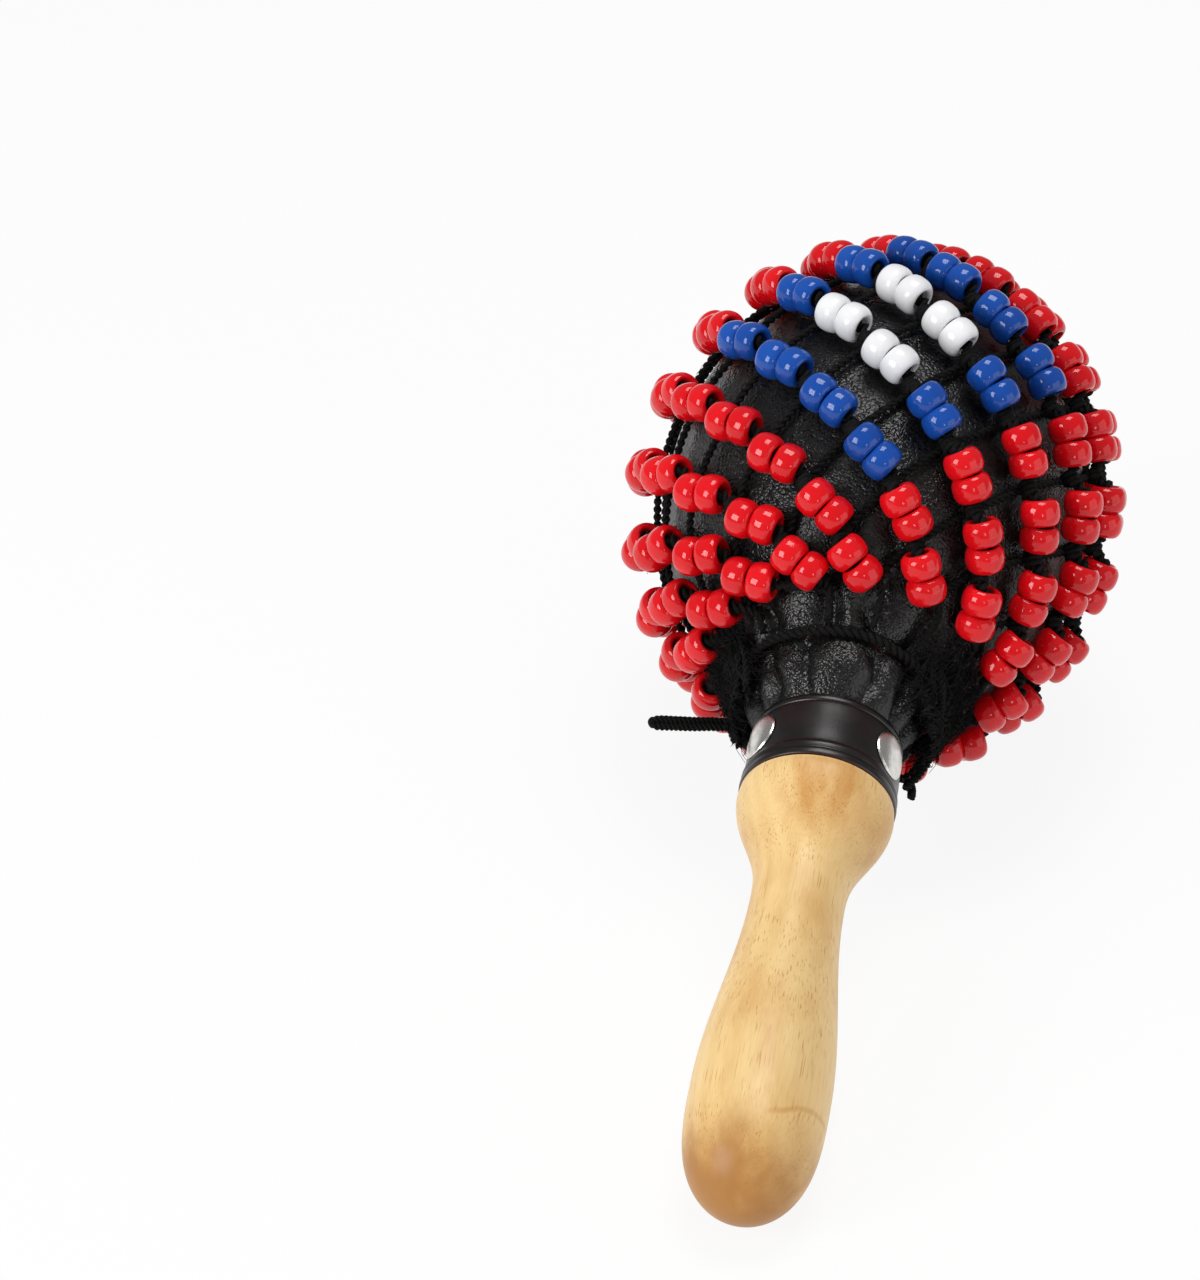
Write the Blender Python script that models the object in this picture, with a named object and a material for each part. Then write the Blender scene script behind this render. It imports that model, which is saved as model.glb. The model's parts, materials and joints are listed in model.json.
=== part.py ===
# Beaded maraca: a turned handle, a hollow hide head with loose shot inside,
# and a diamond net of pony beads that lies round the head and is drawn in at the neck.
#
# Everything is modelled along the maraca's own axis: Z runs from the butt of the handle (0)
# to the crown, X points to the maraca's right and -Y is the side that lies uppermost.
# One empty then lays the whole assembly down on its grip and its beads.
import math

import bmesh
import bpy
import numpy as np
from mathutils import Matrix, Vector

MM = 0.001

# Handle
HANDLE_LENGTH = 108.3 * MM
GRIP_RADIUS = 14.6 * MM
GRIP_HEIGHT = 30.0 * MM
WAIST_RADIUS = 10.15 * MM
WAIST_HEIGHT = 80.5 * MM
BULGE_RADIUS = 17.3 * MM
BULGE_BELOW_SHOULDER = 1.8 * MM
SHOULDER_RADIUS = 17.1 * MM
TENON_RADIUS = 12.6 * MM
TENON_LENGTH = 23.0 * MM
TENON_CHAMFER = 1.2 * MM
BUTT_FULLNESS = 3.2
COVE_LAG = 1.25

# Collar
COLLAR_LENGTH = 18.2 * MM
COLLAR_WALL = 1.1 * MM
COLLAR_FLARE = 0.4 * MM
COLLAR_ROLL = 0.35 * MM
COLLAR_ROLL_HEIGHT = 2.8 * MM
COLLAR_LIP = 1.3 * MM
COLLAR_GROOVE = 0.35 * MM

# Studs
STUD_COUNT = 3
STUD_FIRST_ANGLE = math.radians(63.0)
STUD_ABOVE_FOOT = 10.0 * MM
STUD_HEAD_RADIUS = 5.3 * MM
STUD_DOME = 0.75 * MM
STUD_EDGE = 0.35 * MM
STUD_SHANK_RADIUS = 1.0 * MM
STUD_BITE = 5.0 * MM

# Hide head
HEAD_RADIUS = 49.1 * MM
CROWN_HEIGHT = 60.2 * MM
SHOULDER_ANGLE = math.radians(-52.0)
GATHER_ABOVE_COLLAR = 14.1 * MM
GATHER_RADIUS = 21.5 * MM
PUFF_ABOVE_COLLAR = 6.8 * MM
PUFF_RADIUS = 19.3 * MM
COLLAR_BELOW_EQUATOR = 73.9 * MM
HIDE_THICKNESS = 2.4 * MM

# Shot
SHOT_RADIUS = 3.0 * MM
SHOT_ROUND = 4
SHOT_ALONG = 3
SHOT_GAP = 0.5 * MM

# Net of beads
MESHES_ROUND = 14
BEAD_DIAMETER = 9.0 * MM
BEAD_FACE_DIAMETER = 6.4 * MM
BEAD_WIDTH = 6.0 * MM
BEAD_GROOVE_DIAMETER = 6.0 * MM
CORD_DIAMETER = 1.4 * MM
LACE_DIAMETER = 1.8 * MM
KNOT_DIAMETER = 2.0 * MM
KNOT_ROOM = 0.4 * MM
CROWN_RING_RADIUS = 19.5 * MM
RING_CORD_DIAMETER = 2.4 * MM
RING_TO_FIRST_ROW = 13.3 * MM
LAST_ROW_TO_DRAW_CORD = 15.36 * MM
NET_SKEW = 3.4 * MM
NET_SKEW_ANGLE = math.radians(-81.0)
NET_SAG = 4.8 * MM
NET_SAG_ANGLE = math.radians(-100.0)
NET_SAG_POWER = 8
PAIR_SWING = math.radians(11.0)
PAIR_SWING_CHANGE = math.radians(8.0)
MOTIF_ANGLE = math.radians(-8.5)
MOTIF_ROW = 4
MOTIF_COUNT = 2

# Draw cord's knot and loose ends: angles round the neck from the top towards +X
BOW_ANGLE = math.radians(-126.0)
BOW_LENGTH = 8.0 * MM
BOW_RADIUS = 2.9 * MM
BOW_DROP = 1.4 * MM
BOW_SWELL = np.array([0.55, 0.85, 1.0, 1.0, 0.85, 0.55])

# Clearances
SEAT = 0.3 * MM
BEAD_SEAT = 0.6 * MM
CORD_SEAT = 0.4 * MM
SHOT_SEAT = 0.7 * MM

# Facets
HANDLE_STEPS = 24
HEAD_STEPS = 24
STUD_STEPS = 10
RING_STEPS = 28
RING_SIDES = 6
KNOT_SIDES = 8
BEAD_SIDES = 5
CROSS_SIDES = 3
OUTSIDE_ARC_STEPS = 14
OUTSIDE_NECK_STEPS = 2
INSIDE_ARC_STEPS = 10
MEASURED_ARC_STEPS = 180
MEASURED_NECK_STEPS = 40
ROUTE_STEPS = 2
SHARP_EDGE = math.radians(40.0)
STEEPEST_RISE = math.radians(40.0)
KNOT_REACH = 0.2

# Places along the axis that follow from the sizes above
SHOULDER = HANDLE_LENGTH
COLLAR_BOTTOM = SHOULDER + SEAT
COLLAR_TOP = COLLAR_BOTTOM + COLLAR_LENGTH
EQUATOR = COLLAR_TOP + COLLAR_BELOW_EQUATOR
GATHER = COLLAR_TOP + GATHER_ABOVE_COLLAR
PUFF = COLLAR_TOP + PUFF_ABOVE_COLLAR
NECK_INNER_RADIUS = TENON_RADIUS + SEAT
NECK_RADIUS = NECK_INNER_RADIUS + HIDE_THICKNESS
COLLAR_INNER_RADIUS = NECK_RADIUS + SEAT
COLLAR_RADIUS = COLLAR_INNER_RADIUS + COLLAR_WALL
STUD_HEIGHT = COLLAR_BOTTOM + STUD_ABOVE_FOOT

# Heights of the net's centre lines above the hide
BEAD_RADIUS = BEAD_DIAMETER / 2
BEAD_HEIGHT = BEAD_RADIUS + BEAD_SEAT
CROSS_HEIGHT = CORD_SEAT + CORD_DIAMETER / 2
KNOT_HEIGHT = CORD_SEAT + CORD_DIAMETER + SEAT + KNOT_DIAMETER / 2
RING_HEIGHT = CORD_SEAT + RING_CORD_DIAMETER / 2
RING_GAP = RING_CORD_DIAMETER / 2 + 2 * SEAT
MESH_ANGLE = 2 * math.pi / MESHES_ROUND

PALETTE = {
    "pale_wood": ((0.80, 0.55, 0.25), 0.38, 0.0),
    "black_collar": ((0.012, 0.012, 0.013), 0.42, 0.0),
    "nickel": ((0.72, 0.71, 0.69), 0.28, 1.0),
    "black_hide": ((0.014, 0.014, 0.015), 0.55, 0.0),
    "black_cord": ((0.008, 0.008, 0.009), 0.9, 0.0),
    "red_bead": ((0.75, 0.012, 0.02), 0.18, 0.0),
    "blue_bead": ((0.012, 0.06, 0.40), 0.18, 0.0),
    "white_bead": ((0.88, 0.88, 0.90), 0.18, 0.0),
    "lead_shot": ((0.22, 0.22, 0.23), 0.5, 1.0),
}


def clear_scene():
    for old in list(bpy.data.objects):
        bpy.data.objects.remove(old, do_unlink=True)


def make_materials():
    materials = {}
    for name, (colour, roughness, metallic) in PALETTE.items():
        material = bpy.data.materials.new(name)
        material.use_nodes = True
        shader = material.node_tree.nodes["Principled BSDF"]
        shader.inputs["Base Color"].default_value = (*colour, 1.0)
        shader.inputs["Roughness"].default_value = roughness
        shader.inputs["Metallic"].default_value = metallic
        materials[name] = material
    return materials


def add_object(name, data, *finishes):
    # The piece hangs from the axis empty, so its own place is along the maraca's axis.
    piece = bpy.data.objects.new(name, data)
    bpy.context.collection.objects.link(piece)
    piece.parent = axis_empty
    for finish in finishes:
        data.materials.append(materials[finish])
    return piece


def smooth_route(points, per_span):
    # Catmull-Rom curve through the points, with per_span steps between neighbours.
    points = np.array(points, float)
    ends = np.vstack([2 * points[0] - points[1], points, 2 * points[-1] - points[-2]])
    steps = np.arange(per_span) / per_span
    route = []
    for before, start, end, after in zip(ends, ends[1:], ends[2:], ends[3:]):
        for step in steps:
            route.append(0.5 * (2 * start + (end - before) * step
                                + (2 * before - 5 * start + 4 * end - after) * step ** 2
                                + (3 * start - before - 3 * end + after) * step ** 3))
    route.append(points[-1])
    return np.array(route)


def half_wave(start, end, steps, lag=1.0):
    # Radius swings from one turned high or low to the next along half a cosine wave.
    outline = []
    for share in np.arange(1, steps + 1) / steps:
        swing = (1 - math.cos(math.pi * share ** lag)) / 2
        radius = start[0] + (end[0] - start[0]) * swing
        outline.append((radius, start[1] + (end[1] - start[1]) * share))
    return outline


def lathe(name, outline, steps, finish, closed=False):
    # Turns an outline of (radius, height) points, given from the top down its outer side.
    mesh = bpy.data.meshes.new(name)
    links = [(i, i + 1) for i in range(len(outline) - 1)]
    if closed:
        links.append((len(outline) - 1, 0))
    mesh.from_pydata([(radius, 0.0, height) for radius, height in outline], links, [])
    piece = add_object(name, mesh, finish)
    turn = piece.modifiers.new("turn", "SCREW")
    turn.axis = "Z"
    turn.steps = steps
    turn.render_steps = steps
    turn.use_merge_vertices = True
    turn.merge_threshold = 0.00001
    turn.use_smooth_shade = True
    return piece


def tube_mesh(name, points, directions, ups, radii, sides):
    # Rings of the given radii, square to the directions, with one corner up and the ends capped.
    directions = directions / np.linalg.norm(directions, axis=1, keepdims=True)
    across = np.cross(directions, ups)
    across /= np.linalg.norm(across, axis=1, keepdims=True)
    rising = np.cross(across, directions)
    turn = np.arange(sides) * 2 * math.pi / sides
    spokes = (np.cos(turn)[None, :, None] * rising[:, None, :]
              + np.sin(turn)[None, :, None] * across[:, None, :])
    rings = points[:, None, :] + radii[:, None, None] * spokes
    faces = [tuple(range(sides - 1, -1, -1))]
    for ring in range(len(points) - 1):
        near = ring * sides
        far = near + sides
        for side in range(sides):
            after = (side + 1) % sides
            faces.append((near + side, near + after, far + after, far + side))
    last = (len(points) - 1) * sides
    faces.append(tuple(range(last, last + sides)))
    mesh = bpy.data.meshes.new(name)
    mesh.from_pydata(rings.reshape(-1, 3).tolist(), [], faces)
    mesh.shade_smooth()
    mesh.set_sharp_from_angle(angle=SHARP_EDGE)
    return mesh


def round_profile(centre_radius, centre_height, radius, corners):
    # A cord's round section for the lathe, clockwise from its top.
    turn = [2 * math.pi * corner / corners for corner in range(corners)]
    return [(centre_radius + radius * math.sin(a), centre_height + radius * math.cos(a)) for a in turn]


def round_the_axis(radius, height, angle):
    # A point at this angle from the uppermost side towards +X.
    return np.stack([radius * np.sin(angle), -radius * np.cos(angle), height + 0 * angle], axis=-1)


def hide_outline(arc_steps, neck_steps):
    # The head's outside from the crown to the collar's mouth: an egg, then the pleated neck.
    angles = np.linspace(math.pi / 2, SHOULDER_ANGLE, arc_steps + 1)
    egg = np.stack([HEAD_RADIUS * np.cos(angles), EQUATOR + CROWN_HEIGHT * np.sin(angles)], axis=1)
    egg[0, 0] = 0.0
    neck = smooth_route([egg[-2], egg[-1], (GATHER_RADIUS, GATHER), (PUFF_RADIUS, PUFF),
                         (NECK_RADIUS, COLLAR_TOP)], neck_steps)
    return np.vstack([egg, neck[neck_steps + 1:]])


class NetSurface:
    # The surface through the bead centres, measured along from the crown.
    def __init__(self):
        outline = hide_outline(MEASURED_ARC_STEPS, MEASURED_NECK_STEPS)
        along = np.gradient(outline, axis=0)
        along /= np.linalg.norm(along, axis=1, keepdims=True)
        self.outline = outline
        self.normal = np.stack([-along[:, 1], along[:, 0]], axis=1)
        beads = outline + BEAD_HEIGHT * self.normal
        steps = np.linalg.norm(np.diff(beads, axis=0), axis=1)
        self.reach = np.concatenate([[0.0], np.cumsum(steps)])

    def reach_at_radius(self, radius):
        # Distance from the crown to where the hide's upper half has this radius.
        upper = self.outline[:, 1] >= EQUATOR
        return float(np.interp(radius, self.outline[upper, 0], self.reach[upper]))

    def reach_at_height(self, height):
        return float(np.interp(-height, -self.outline[:, 1], self.reach))

    def section(self, reach, lift):
        # Radius and height of a point lifted this far off the hide.
        foot = [np.interp(reach, self.reach, self.outline[:, axis]) for axis in (0, 1)]
        lean = [np.interp(reach, self.reach, self.normal[:, axis]) for axis in (0, 1)]
        return foot[0] + lift * lean[0], foot[1] + lift * lean[1]

    def point(self, reach, angle, lift):
        radius, height = self.section(reach, lift)
        return round_the_axis(radius, height, angle)

    def up(self, reach, angle):
        return self.point(reach, angle, 1.0) - self.point(reach, angle, 0.0)


def make_handle():
    # Tenon, shoulder, bulge, waist, grip and rounded butt in one turning.
    tenon_top = SHOULDER + TENON_LENGTH
    bulge = (BULGE_RADIUS, SHOULDER - BULGE_BELOW_SHOULDER)
    waist = (WAIST_RADIUS, WAIST_HEIGHT)
    grip = (GRIP_RADIUS, GRIP_HEIGHT)
    outline = [(0.0, tenon_top), (TENON_RADIUS - TENON_CHAMFER, tenon_top),
               (TENON_RADIUS, tenon_top - TENON_CHAMFER), (TENON_RADIUS, SHOULDER),
               (SHOULDER_RADIUS, SHOULDER)]
    outline += half_wave((SHOULDER_RADIUS, SHOULDER), bulge, 3)
    cove = half_wave(waist, bulge, 7, COVE_LAG)
    outline += cove[-2::-1] + [waist]
    outline += half_wave(waist, grip, 6)
    for share in np.sin(np.linspace(0, math.pi / 2, 8))[1:-1]:
        drop = share ** BUTT_FULLNESS
        outline.append((GRIP_RADIUS * math.sqrt(1 - drop), GRIP_HEIGHT * (1 - share)))
    outline.append((0.0, 0.0))
    return lathe("handle", outline, HANDLE_STEPS, "pale_wood")


def make_collar():
    # Ferrule with a rolled lower edge, a slight flare and a groove under its upper lip.
    foot = COLLAR_RADIUS + COLLAR_FLARE
    groove = COLLAR_TOP - 2 * COLLAR_LIP
    outline = [(COLLAR_INNER_RADIUS, COLLAR_TOP), (COLLAR_RADIUS - COLLAR_GROOVE, COLLAR_TOP),
               (COLLAR_RADIUS, COLLAR_TOP - COLLAR_LIP / 2), (COLLAR_RADIUS, COLLAR_TOP - COLLAR_LIP),
               (COLLAR_RADIUS - COLLAR_GROOVE, groove + COLLAR_LIP / 2), (COLLAR_RADIUS, groove),
               (foot, COLLAR_BOTTOM + COLLAR_ROLL_HEIGHT),
               (foot + COLLAR_ROLL, COLLAR_BOTTOM + COLLAR_ROLL_HEIGHT / 2),
               (foot, COLLAR_BOTTOM), (COLLAR_INNER_RADIUS, COLLAR_BOTTOM)]
    return lathe("collar", outline, HANDLE_STEPS, "black_collar", closed=True)


def collar_radius_at_studs():
    rise = (COLLAR_TOP - 2 * COLLAR_LIP) - (COLLAR_BOTTOM + COLLAR_ROLL_HEIGHT)
    share = (STUD_HEIGHT - COLLAR_BOTTOM - COLLAR_ROLL_HEIGHT) / rise
    return COLLAR_RADIUS + COLLAR_FLARE * (1 - share)


def radial_matrix(angle, radius, height):
    # Stands a piece's own Z straight out from the axis.
    out = Vector((math.sin(angle), -math.cos(angle), 0.0))
    turned = out.to_track_quat("Z", "Y").to_matrix().to_4x4()
    return Matrix.Translation(out * radius + Vector((0.0, 0.0, height))) @ turned


def stud_angles():
    return [STUD_FIRST_ANGLE + turn * 2 * math.pi / STUD_COUNT for turn in range(STUD_COUNT)]


def make_studs():
    # Domed tacks: the head sits on the collar, the shank goes through the hide into the tenon.
    seat = collar_radius_at_studs() + SEAT
    shank = seat - TENON_RADIUS + STUD_BITE
    tip = STUD_SHANK_RADIUS
    arc = np.linspace(0, math.pi / 2, 4)
    dome = [(STUD_HEAD_RADIUS * math.sin(a), STUD_EDGE + STUD_DOME * math.cos(a)) for a in arc]
    outline = [(0.0, dome[0][1])] + dome[1:] + [(STUD_HEAD_RADIUS, 0.0), (STUD_SHANK_RADIUS, 0.0),
                                                (STUD_SHANK_RADIUS, tip - shank), (0.0, -shank)]
    for number, angle in enumerate(stud_angles(), start=1):
        stud = lathe(f"stud_{number}", outline, STUD_STEPS, "nickel")
        stud.matrix_local = radial_matrix(angle, seat, STUD_HEIGHT)


def cut_stud_holes(*pieces):
    # One cutter with a plain round bar for each shank, a clearance wider and deeper than it.
    inner = TENON_RADIUS - STUD_BITE - 2 * SEAT
    outer = COLLAR_RADIUS + COLLAR_FLARE + COLLAR_ROLL + STUD_DOME
    bars = bmesh.new()
    for angle in stud_angles():
        bmesh.ops.create_cone(bars, cap_ends=True, segments=STUD_STEPS, depth=outer - inner,
                              radius1=STUD_SHANK_RADIUS + SEAT, radius2=STUD_SHANK_RADIUS + SEAT,
                              matrix=radial_matrix(angle, (outer + inner) / 2, STUD_HEIGHT))
    mesh = bpy.data.meshes.new("stud_hole_bars")
    bars.to_mesh(mesh)
    bars.free()
    cutter = add_object("stud_hole_bars", mesh)
    cutter.display_type = "WIRE"
    cutter.hide_render = True
    for piece in pieces:
        cut = piece.modifiers.new("stud_holes", "BOOLEAN")
        cut.operation = "DIFFERENCE"
        cut.object = cutter


def make_head():
    # The hide bag is one wall: outside down to the mouth under the collar, then back up inside.
    outside = hide_outline(OUTSIDE_ARC_STEPS, OUTSIDE_NECK_STEPS)
    mouth = COLLAR_BOTTOM + SEAT
    outline = [tuple(point) for point in outside]
    outline += [(NECK_RADIUS, mouth), (NECK_INNER_RADIUS, mouth), (NECK_INNER_RADIUS, COLLAR_TOP)]
    outline += [(PUFF_RADIUS - HIDE_THICKNESS, PUFF), (GATHER_RADIUS - HIDE_THICKNESS, GATHER)]
    inner_radius = HEAD_RADIUS - HIDE_THICKNESS
    inner_height = CROWN_HEIGHT - HIDE_THICKNESS
    for angle in np.linspace(SHOULDER_ANGLE, math.pi / 2, INSIDE_ARC_STEPS + 1)[:-1]:
        outline.append((inner_radius * math.cos(angle), EQUATOR + inner_height * math.sin(angle)))
    outline.append((0.0, EQUATOR + inner_height))
    return lathe("head", outline, HEAD_STEPS, "black_hide")


def make_shot(net):
    # Loose shot, lying together on the inside of the wall where the head is lowest.
    pitch = 2 * SHOT_RADIUS + SHOT_GAP
    lift = -(HIDE_THICKNESS + SHOT_SEAT + SHOT_RADIUS)
    middle = net.reach_at_height(EQUATOR)
    number = 0
    for along in range(SHOT_ALONG):
        reach = middle + (along - (SHOT_ALONG - 1) / 2) * pitch * (1 + BEAD_HEIGHT / HEAD_RADIUS)
        radius, _ = net.section(reach, lift)
        for step in range(SHOT_ROUND):
            number += 1
            angle = math.pi + (step - (SHOT_ROUND - 1) / 2) * 2 * math.asin(pitch / 2 / radius)
            ball = bmesh.new()
            bmesh.ops.create_icosphere(ball, subdivisions=2, radius=SHOT_RADIUS)
            mesh = bpy.data.meshes.new(f"shot_{number:02d}")
            ball.to_mesh(mesh)
            ball.free()
            mesh.shade_smooth()
            pellet = add_object(mesh.name, mesh, "lead_shot")
            pellet.location = net.point(reach, angle, lift).tolist()


def net_rows(net):
    # Rows of bead pairs, evenly spread between the crown ring and the draw cord.
    first = net.reach_at_radius(CROWN_RING_RADIUS) + RING_TO_FIRST_ROW
    last = net.reach_at_height(GATHER) - LAST_ROW_TO_DRAW_CORD
    count = int((last - first) / (2 * BEAD_WIDTH + KNOT_ROOM)) + 1
    return np.linspace(first, last, count)


def net_reach(net, rows, row, angle):
    # Distance from the crown at any row and angle: even between the rows, meeting the two rings at the
    # ends. The net sits askew, so one side of it lies nearer the neck than the other, and sags there.
    pitch = rows[1] - rows[0]
    last = len(rows) - 1
    ring_end = net.reach_at_radius(CROWN_RING_RADIUS) + RING_GAP
    draw_end = net.reach_at_height(GATHER) - RING_GAP
    marks = [-2.0, -1.0, -0.5, last + 0.5, last + 1.0, last + 2.0]
    places = [ring_end - pitch, ring_end, rows[0] - pitch / 2, rows[-1] + pitch / 2, draw_end,
              draw_end + pitch]
    free = np.interp(row, marks, [0.0, 0.0, 1.0, 1.0, 0.0, 0.0])
    skew = NET_SKEW * np.cos(angle - NET_SKEW_ANGLE)
    sag = NET_SAG * np.maximum(np.cos(angle - NET_SAG_ANGLE), 0.0) ** NET_SAG_POWER
    return np.interp(row, marks, places) + free * (skew + sag)


def bead_colour(row, strand):
    # White lozenge, blue border, red ground: counted along the two slants of the net.
    slant = (strand + 1) % (MESHES_ROUND // MOTIF_COUNT) - 1
    other = slant + row - MOTIF_ROW
    if slant in (0, 1) and other in (0, 1):
        return "white_bead"
    if -1 <= slant <= 2 and -1 <= other <= 2:
        return "blue_bead"
    return "red_bead"


STRAND_FINISHES = ("black_cord", "red_bead", "blue_bead", "white_bead")


def make_strand(net, rows, strand):
    # One slanting cord with its bead pairs: knot, face, swell, groove, swell, face, knot.
    profile = [(-1.0, BEAD_FACE_DIAMETER), (-0.5, BEAD_DIAMETER), (0.0, BEAD_GROOVE_DIAMETER),
               (0.5, BEAD_DIAMETER), (1.0, BEAD_FACE_DIAMETER)]
    points = []
    directions = []
    ups = []
    radii = []

    def angle_at(row):
        return np.array(MOTIF_ANGLE + (strand + (row - MOTIF_ROW) / 2) * MESH_ANGLE)

    def place(row, lift):
        return net.point(net_reach(net, rows, row, angle_at(row)), angle_at(row), lift)

    def up_at(row):
        up = net.up(net_reach(net, rows, row, angle_at(row)), angle_at(row))
        return up / np.linalg.norm(up)

    def add_ring(point, direction, up, diameter):
        points.append(point)
        directions.append(direction)
        ups.append(up)
        radii.append(diameter / 2)

    def add_knot(row, lift, diameter):
        ahead = place(row + KNOT_REACH, lift) - place(row - KNOT_REACH, lift)
        add_ring(place(row, lift), ahead, up_at(row), diameter)

    def pair_direction(row):
        # Along the cord, then swung aside on the hide, more at the maraca's left than at its right.
        chord = place(row + 0.5, BEAD_HEIGHT) - place(row - 0.5, BEAD_HEIGHT)
        chord /= np.linalg.norm(chord)
        swing = PAIR_SWING - PAIR_SWING_CHANGE * math.sin(angle_at(row))
        return chord * math.cos(swing) + np.cross(up_at(row), chord) * math.sin(swing)

    add_knot(-1.0, RING_HEIGHT, CORD_DIAMETER)
    for row in range(len(rows)):
        add_knot(row - 0.5, KNOT_HEIGHT, KNOT_DIAMETER)
        along = pair_direction(row)
        for share, diameter in profile:
            add_ring(place(row, BEAD_HEIGHT) + share * BEAD_WIDTH * along, along, up_at(row), diameter)
    add_knot(len(rows) - 0.5, KNOT_HEIGHT, KNOT_DIAMETER)
    add_knot(len(rows), RING_HEIGHT, CORD_DIAMETER)

    name = f"bead_strand_{strand + 1:02d}"
    mesh = tube_mesh(name, np.array(points), np.array(directions), np.array(ups), np.array(radii),
                     BEAD_SIDES)
    bands = len(profile) + 1
    for face in mesh.polygons[1:-1]:
        row, band = divmod((face.index - 1) // BEAD_SIDES - 1, bands)
        if 0 <= row < len(rows) and 1 <= band < bands - 1:
            face.material_index = STRAND_FINISHES.index(bead_colour(row, strand))
    add_object(name, mesh, *STRAND_FINISHES)


def make_cross_cord(net, rows, number):
    # A bare cord that slants the other way, close to the hide under the strands' knots.
    half_rows = np.arange(-0.5, len(rows) - 0.25, 0.5)
    row = np.concatenate([[-1.0], half_rows, [len(rows)]])
    angle = MOTIF_ANGLE + (number + 0.5 - (row - MOTIF_ROW) / 2) * MESH_ANGLE
    reach = net_reach(net, rows, row, angle)
    points = net.point(reach, angle, CROSS_HEIGHT)
    ups = net.up(reach, angle)
    radii = np.full(len(points), CORD_DIAMETER / 2)
    name = f"cross_cord_{number + 1:02d}"
    mesh = tube_mesh(name, points, np.gradient(points, axis=0), ups, radii, CROSS_SIDES)
    add_object(name, mesh, "black_cord")


def make_crown_ring(net):
    radius, height = net.section(net.reach_at_radius(CROWN_RING_RADIUS), RING_HEIGHT)
    section = round_profile(radius, height, RING_CORD_DIAMETER / 2, RING_SIDES)
    lathe("crown_ring", section, RING_STEPS, "black_cord", closed=True)


def make_draw_cord(net):
    # Runs round the neck in the gather line, from one side of its knot to the other.
    radius, height = net.section(net.reach_at_height(GATHER), RING_HEIGHT)
    half_gap = (BOW_LENGTH / 2 + SEAT) / radius
    angles = np.linspace(BOW_ANGLE + half_gap, BOW_ANGLE + 2 * math.pi - half_gap, RING_STEPS)
    points = round_the_axis(radius, height, angles)
    ups = np.tile([0.0, 0.0, 1.0], (len(points), 1))
    radii = np.full(len(points), RING_CORD_DIAMETER / 2)
    ahead = round_the_axis(radius, 0.0, angles + math.pi / 2)
    mesh = tube_mesh("draw_cord", points, ahead, ups, radii, RING_SIDES)
    add_object("draw_cord", mesh, "black_cord")
    return radius, height


def make_bow_knot(radius, height):
    # A short fat wrap of cord between the draw cord's two ends, lifted clear of the hide.
    share = np.linspace(-1.0, 1.0, len(BOW_SWELL))
    out = round_the_axis(1.0, 0.0, np.array(BOW_ANGLE))
    along = round_the_axis(1.0, 0.0, np.array(BOW_ANGLE + math.pi / 2))
    lift = BOW_RADIUS - RING_CORD_DIAMETER / 2 + SEAT
    centre = round_the_axis(radius + lift, height - BOW_DROP, np.array(BOW_ANGLE))
    points = centre + share[:, None] * along * BOW_LENGTH / 2
    directions = np.tile(along, (len(points), 1))
    ups = np.tile(out, (len(points), 1))
    mesh = tube_mesh("bow_knot", points, directions, ups, BOW_SWELL * BOW_RADIUS, KNOT_SIDES)
    add_object("bow_knot", mesh, "black_cord")
    return centre, out


def make_cord(name, route):
    # A free cord: a round tube on a smooth curve through the route's own points.
    curve = bpy.data.curves.new(name, "CURVE")
    curve.dimensions = "3D"
    curve.bevel_depth = LACE_DIAMETER / 2
    curve.bevel_resolution = 2
    curve.use_fill_caps = True
    path = smooth_route(route, ROUTE_STEPS)
    spline = curve.splines.new("POLY")
    spline.points.add(len(path) - 1)
    spline.points.foreach_set("co", np.column_stack([path, np.ones(len(path))]).ravel())
    spline.use_smooth = True
    add_object(name, curve, "black_cord")


# The loop's points as (out, across) from the knot: two legs and a bight that stands out sideways.
LOOP_ROUTE = [(0.0, 1.2), (6.0, 1.3), (12.0, 1.5), (17.4, 1.6), (20.0, 0.0), (17.4, -1.6), (12.0, -1.5),
              (6.0, -1.3), (0.0, -1.2)]
LOOP_OUT = np.array([-0.944, -0.305, -0.107])
LOOP_ACROSS = np.array([0.126, -0.652, 0.748])

# Each tail's points as (degrees round the neck, out from the draw cord, towards the handle).
TAIL_ROUTES = [
    [(62.0, 2.5, 0.0), (68.0, 2.6, 2.4), (78.0, 1.2, 3.9), (92.0, 0.6, 4.4), (105.0, 0.8, 4.8),
     (115.0, 0.8, 6.4), (121.0, 0.0, 9.8), (125.0, -1.9, 13.7)],
    [(178.0, 2.5, 0.0), (171.0, 2.6, 2.4), (161.0, 1.2, 3.9), (147.0, 0.6, 4.8), (137.0, 1.0, 6.4),
     (131.0, 1.2, 10.0), (127.0, 0.6, 14.2)],
]


def make_lace_loop(knot, out):
    start = knot + out * (BOW_RADIUS + LACE_DIAMETER / 2)
    route = [start + MM * (far * LOOP_OUT + wide * LOOP_ACROSS) for far, wide in LOOP_ROUTE]
    make_cord("lace_loop", route)


def make_tails(radius, height):
    # Two ends of the net's cord, tied off at the draw cord, that hang beside the neck.
    for number, points in enumerate(TAIL_ROUTES, start=1):
        route = [round_the_axis(radius + out * MM, height - back * MM, np.array(math.radians(turn)))
                 for turn, out, back in points]
        make_cord(f"cord_tail_{number}", route)


def solid_points(piece):
    # The finished shape's corners along the maraca's own axis, before it is laid down.
    graph = bpy.context.evaluated_depsgraph_get()
    shape = piece.evaluated_get(graph)
    mesh = shape.to_mesh()
    points = np.empty(3 * len(mesh.vertices))
    mesh.vertices.foreach_get("co", points)
    shape.to_mesh_clear()
    place = np.array(piece.matrix_local)
    return points.reshape(-1, 3) @ place[:3, :3].T + place[:3, 3]


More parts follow.
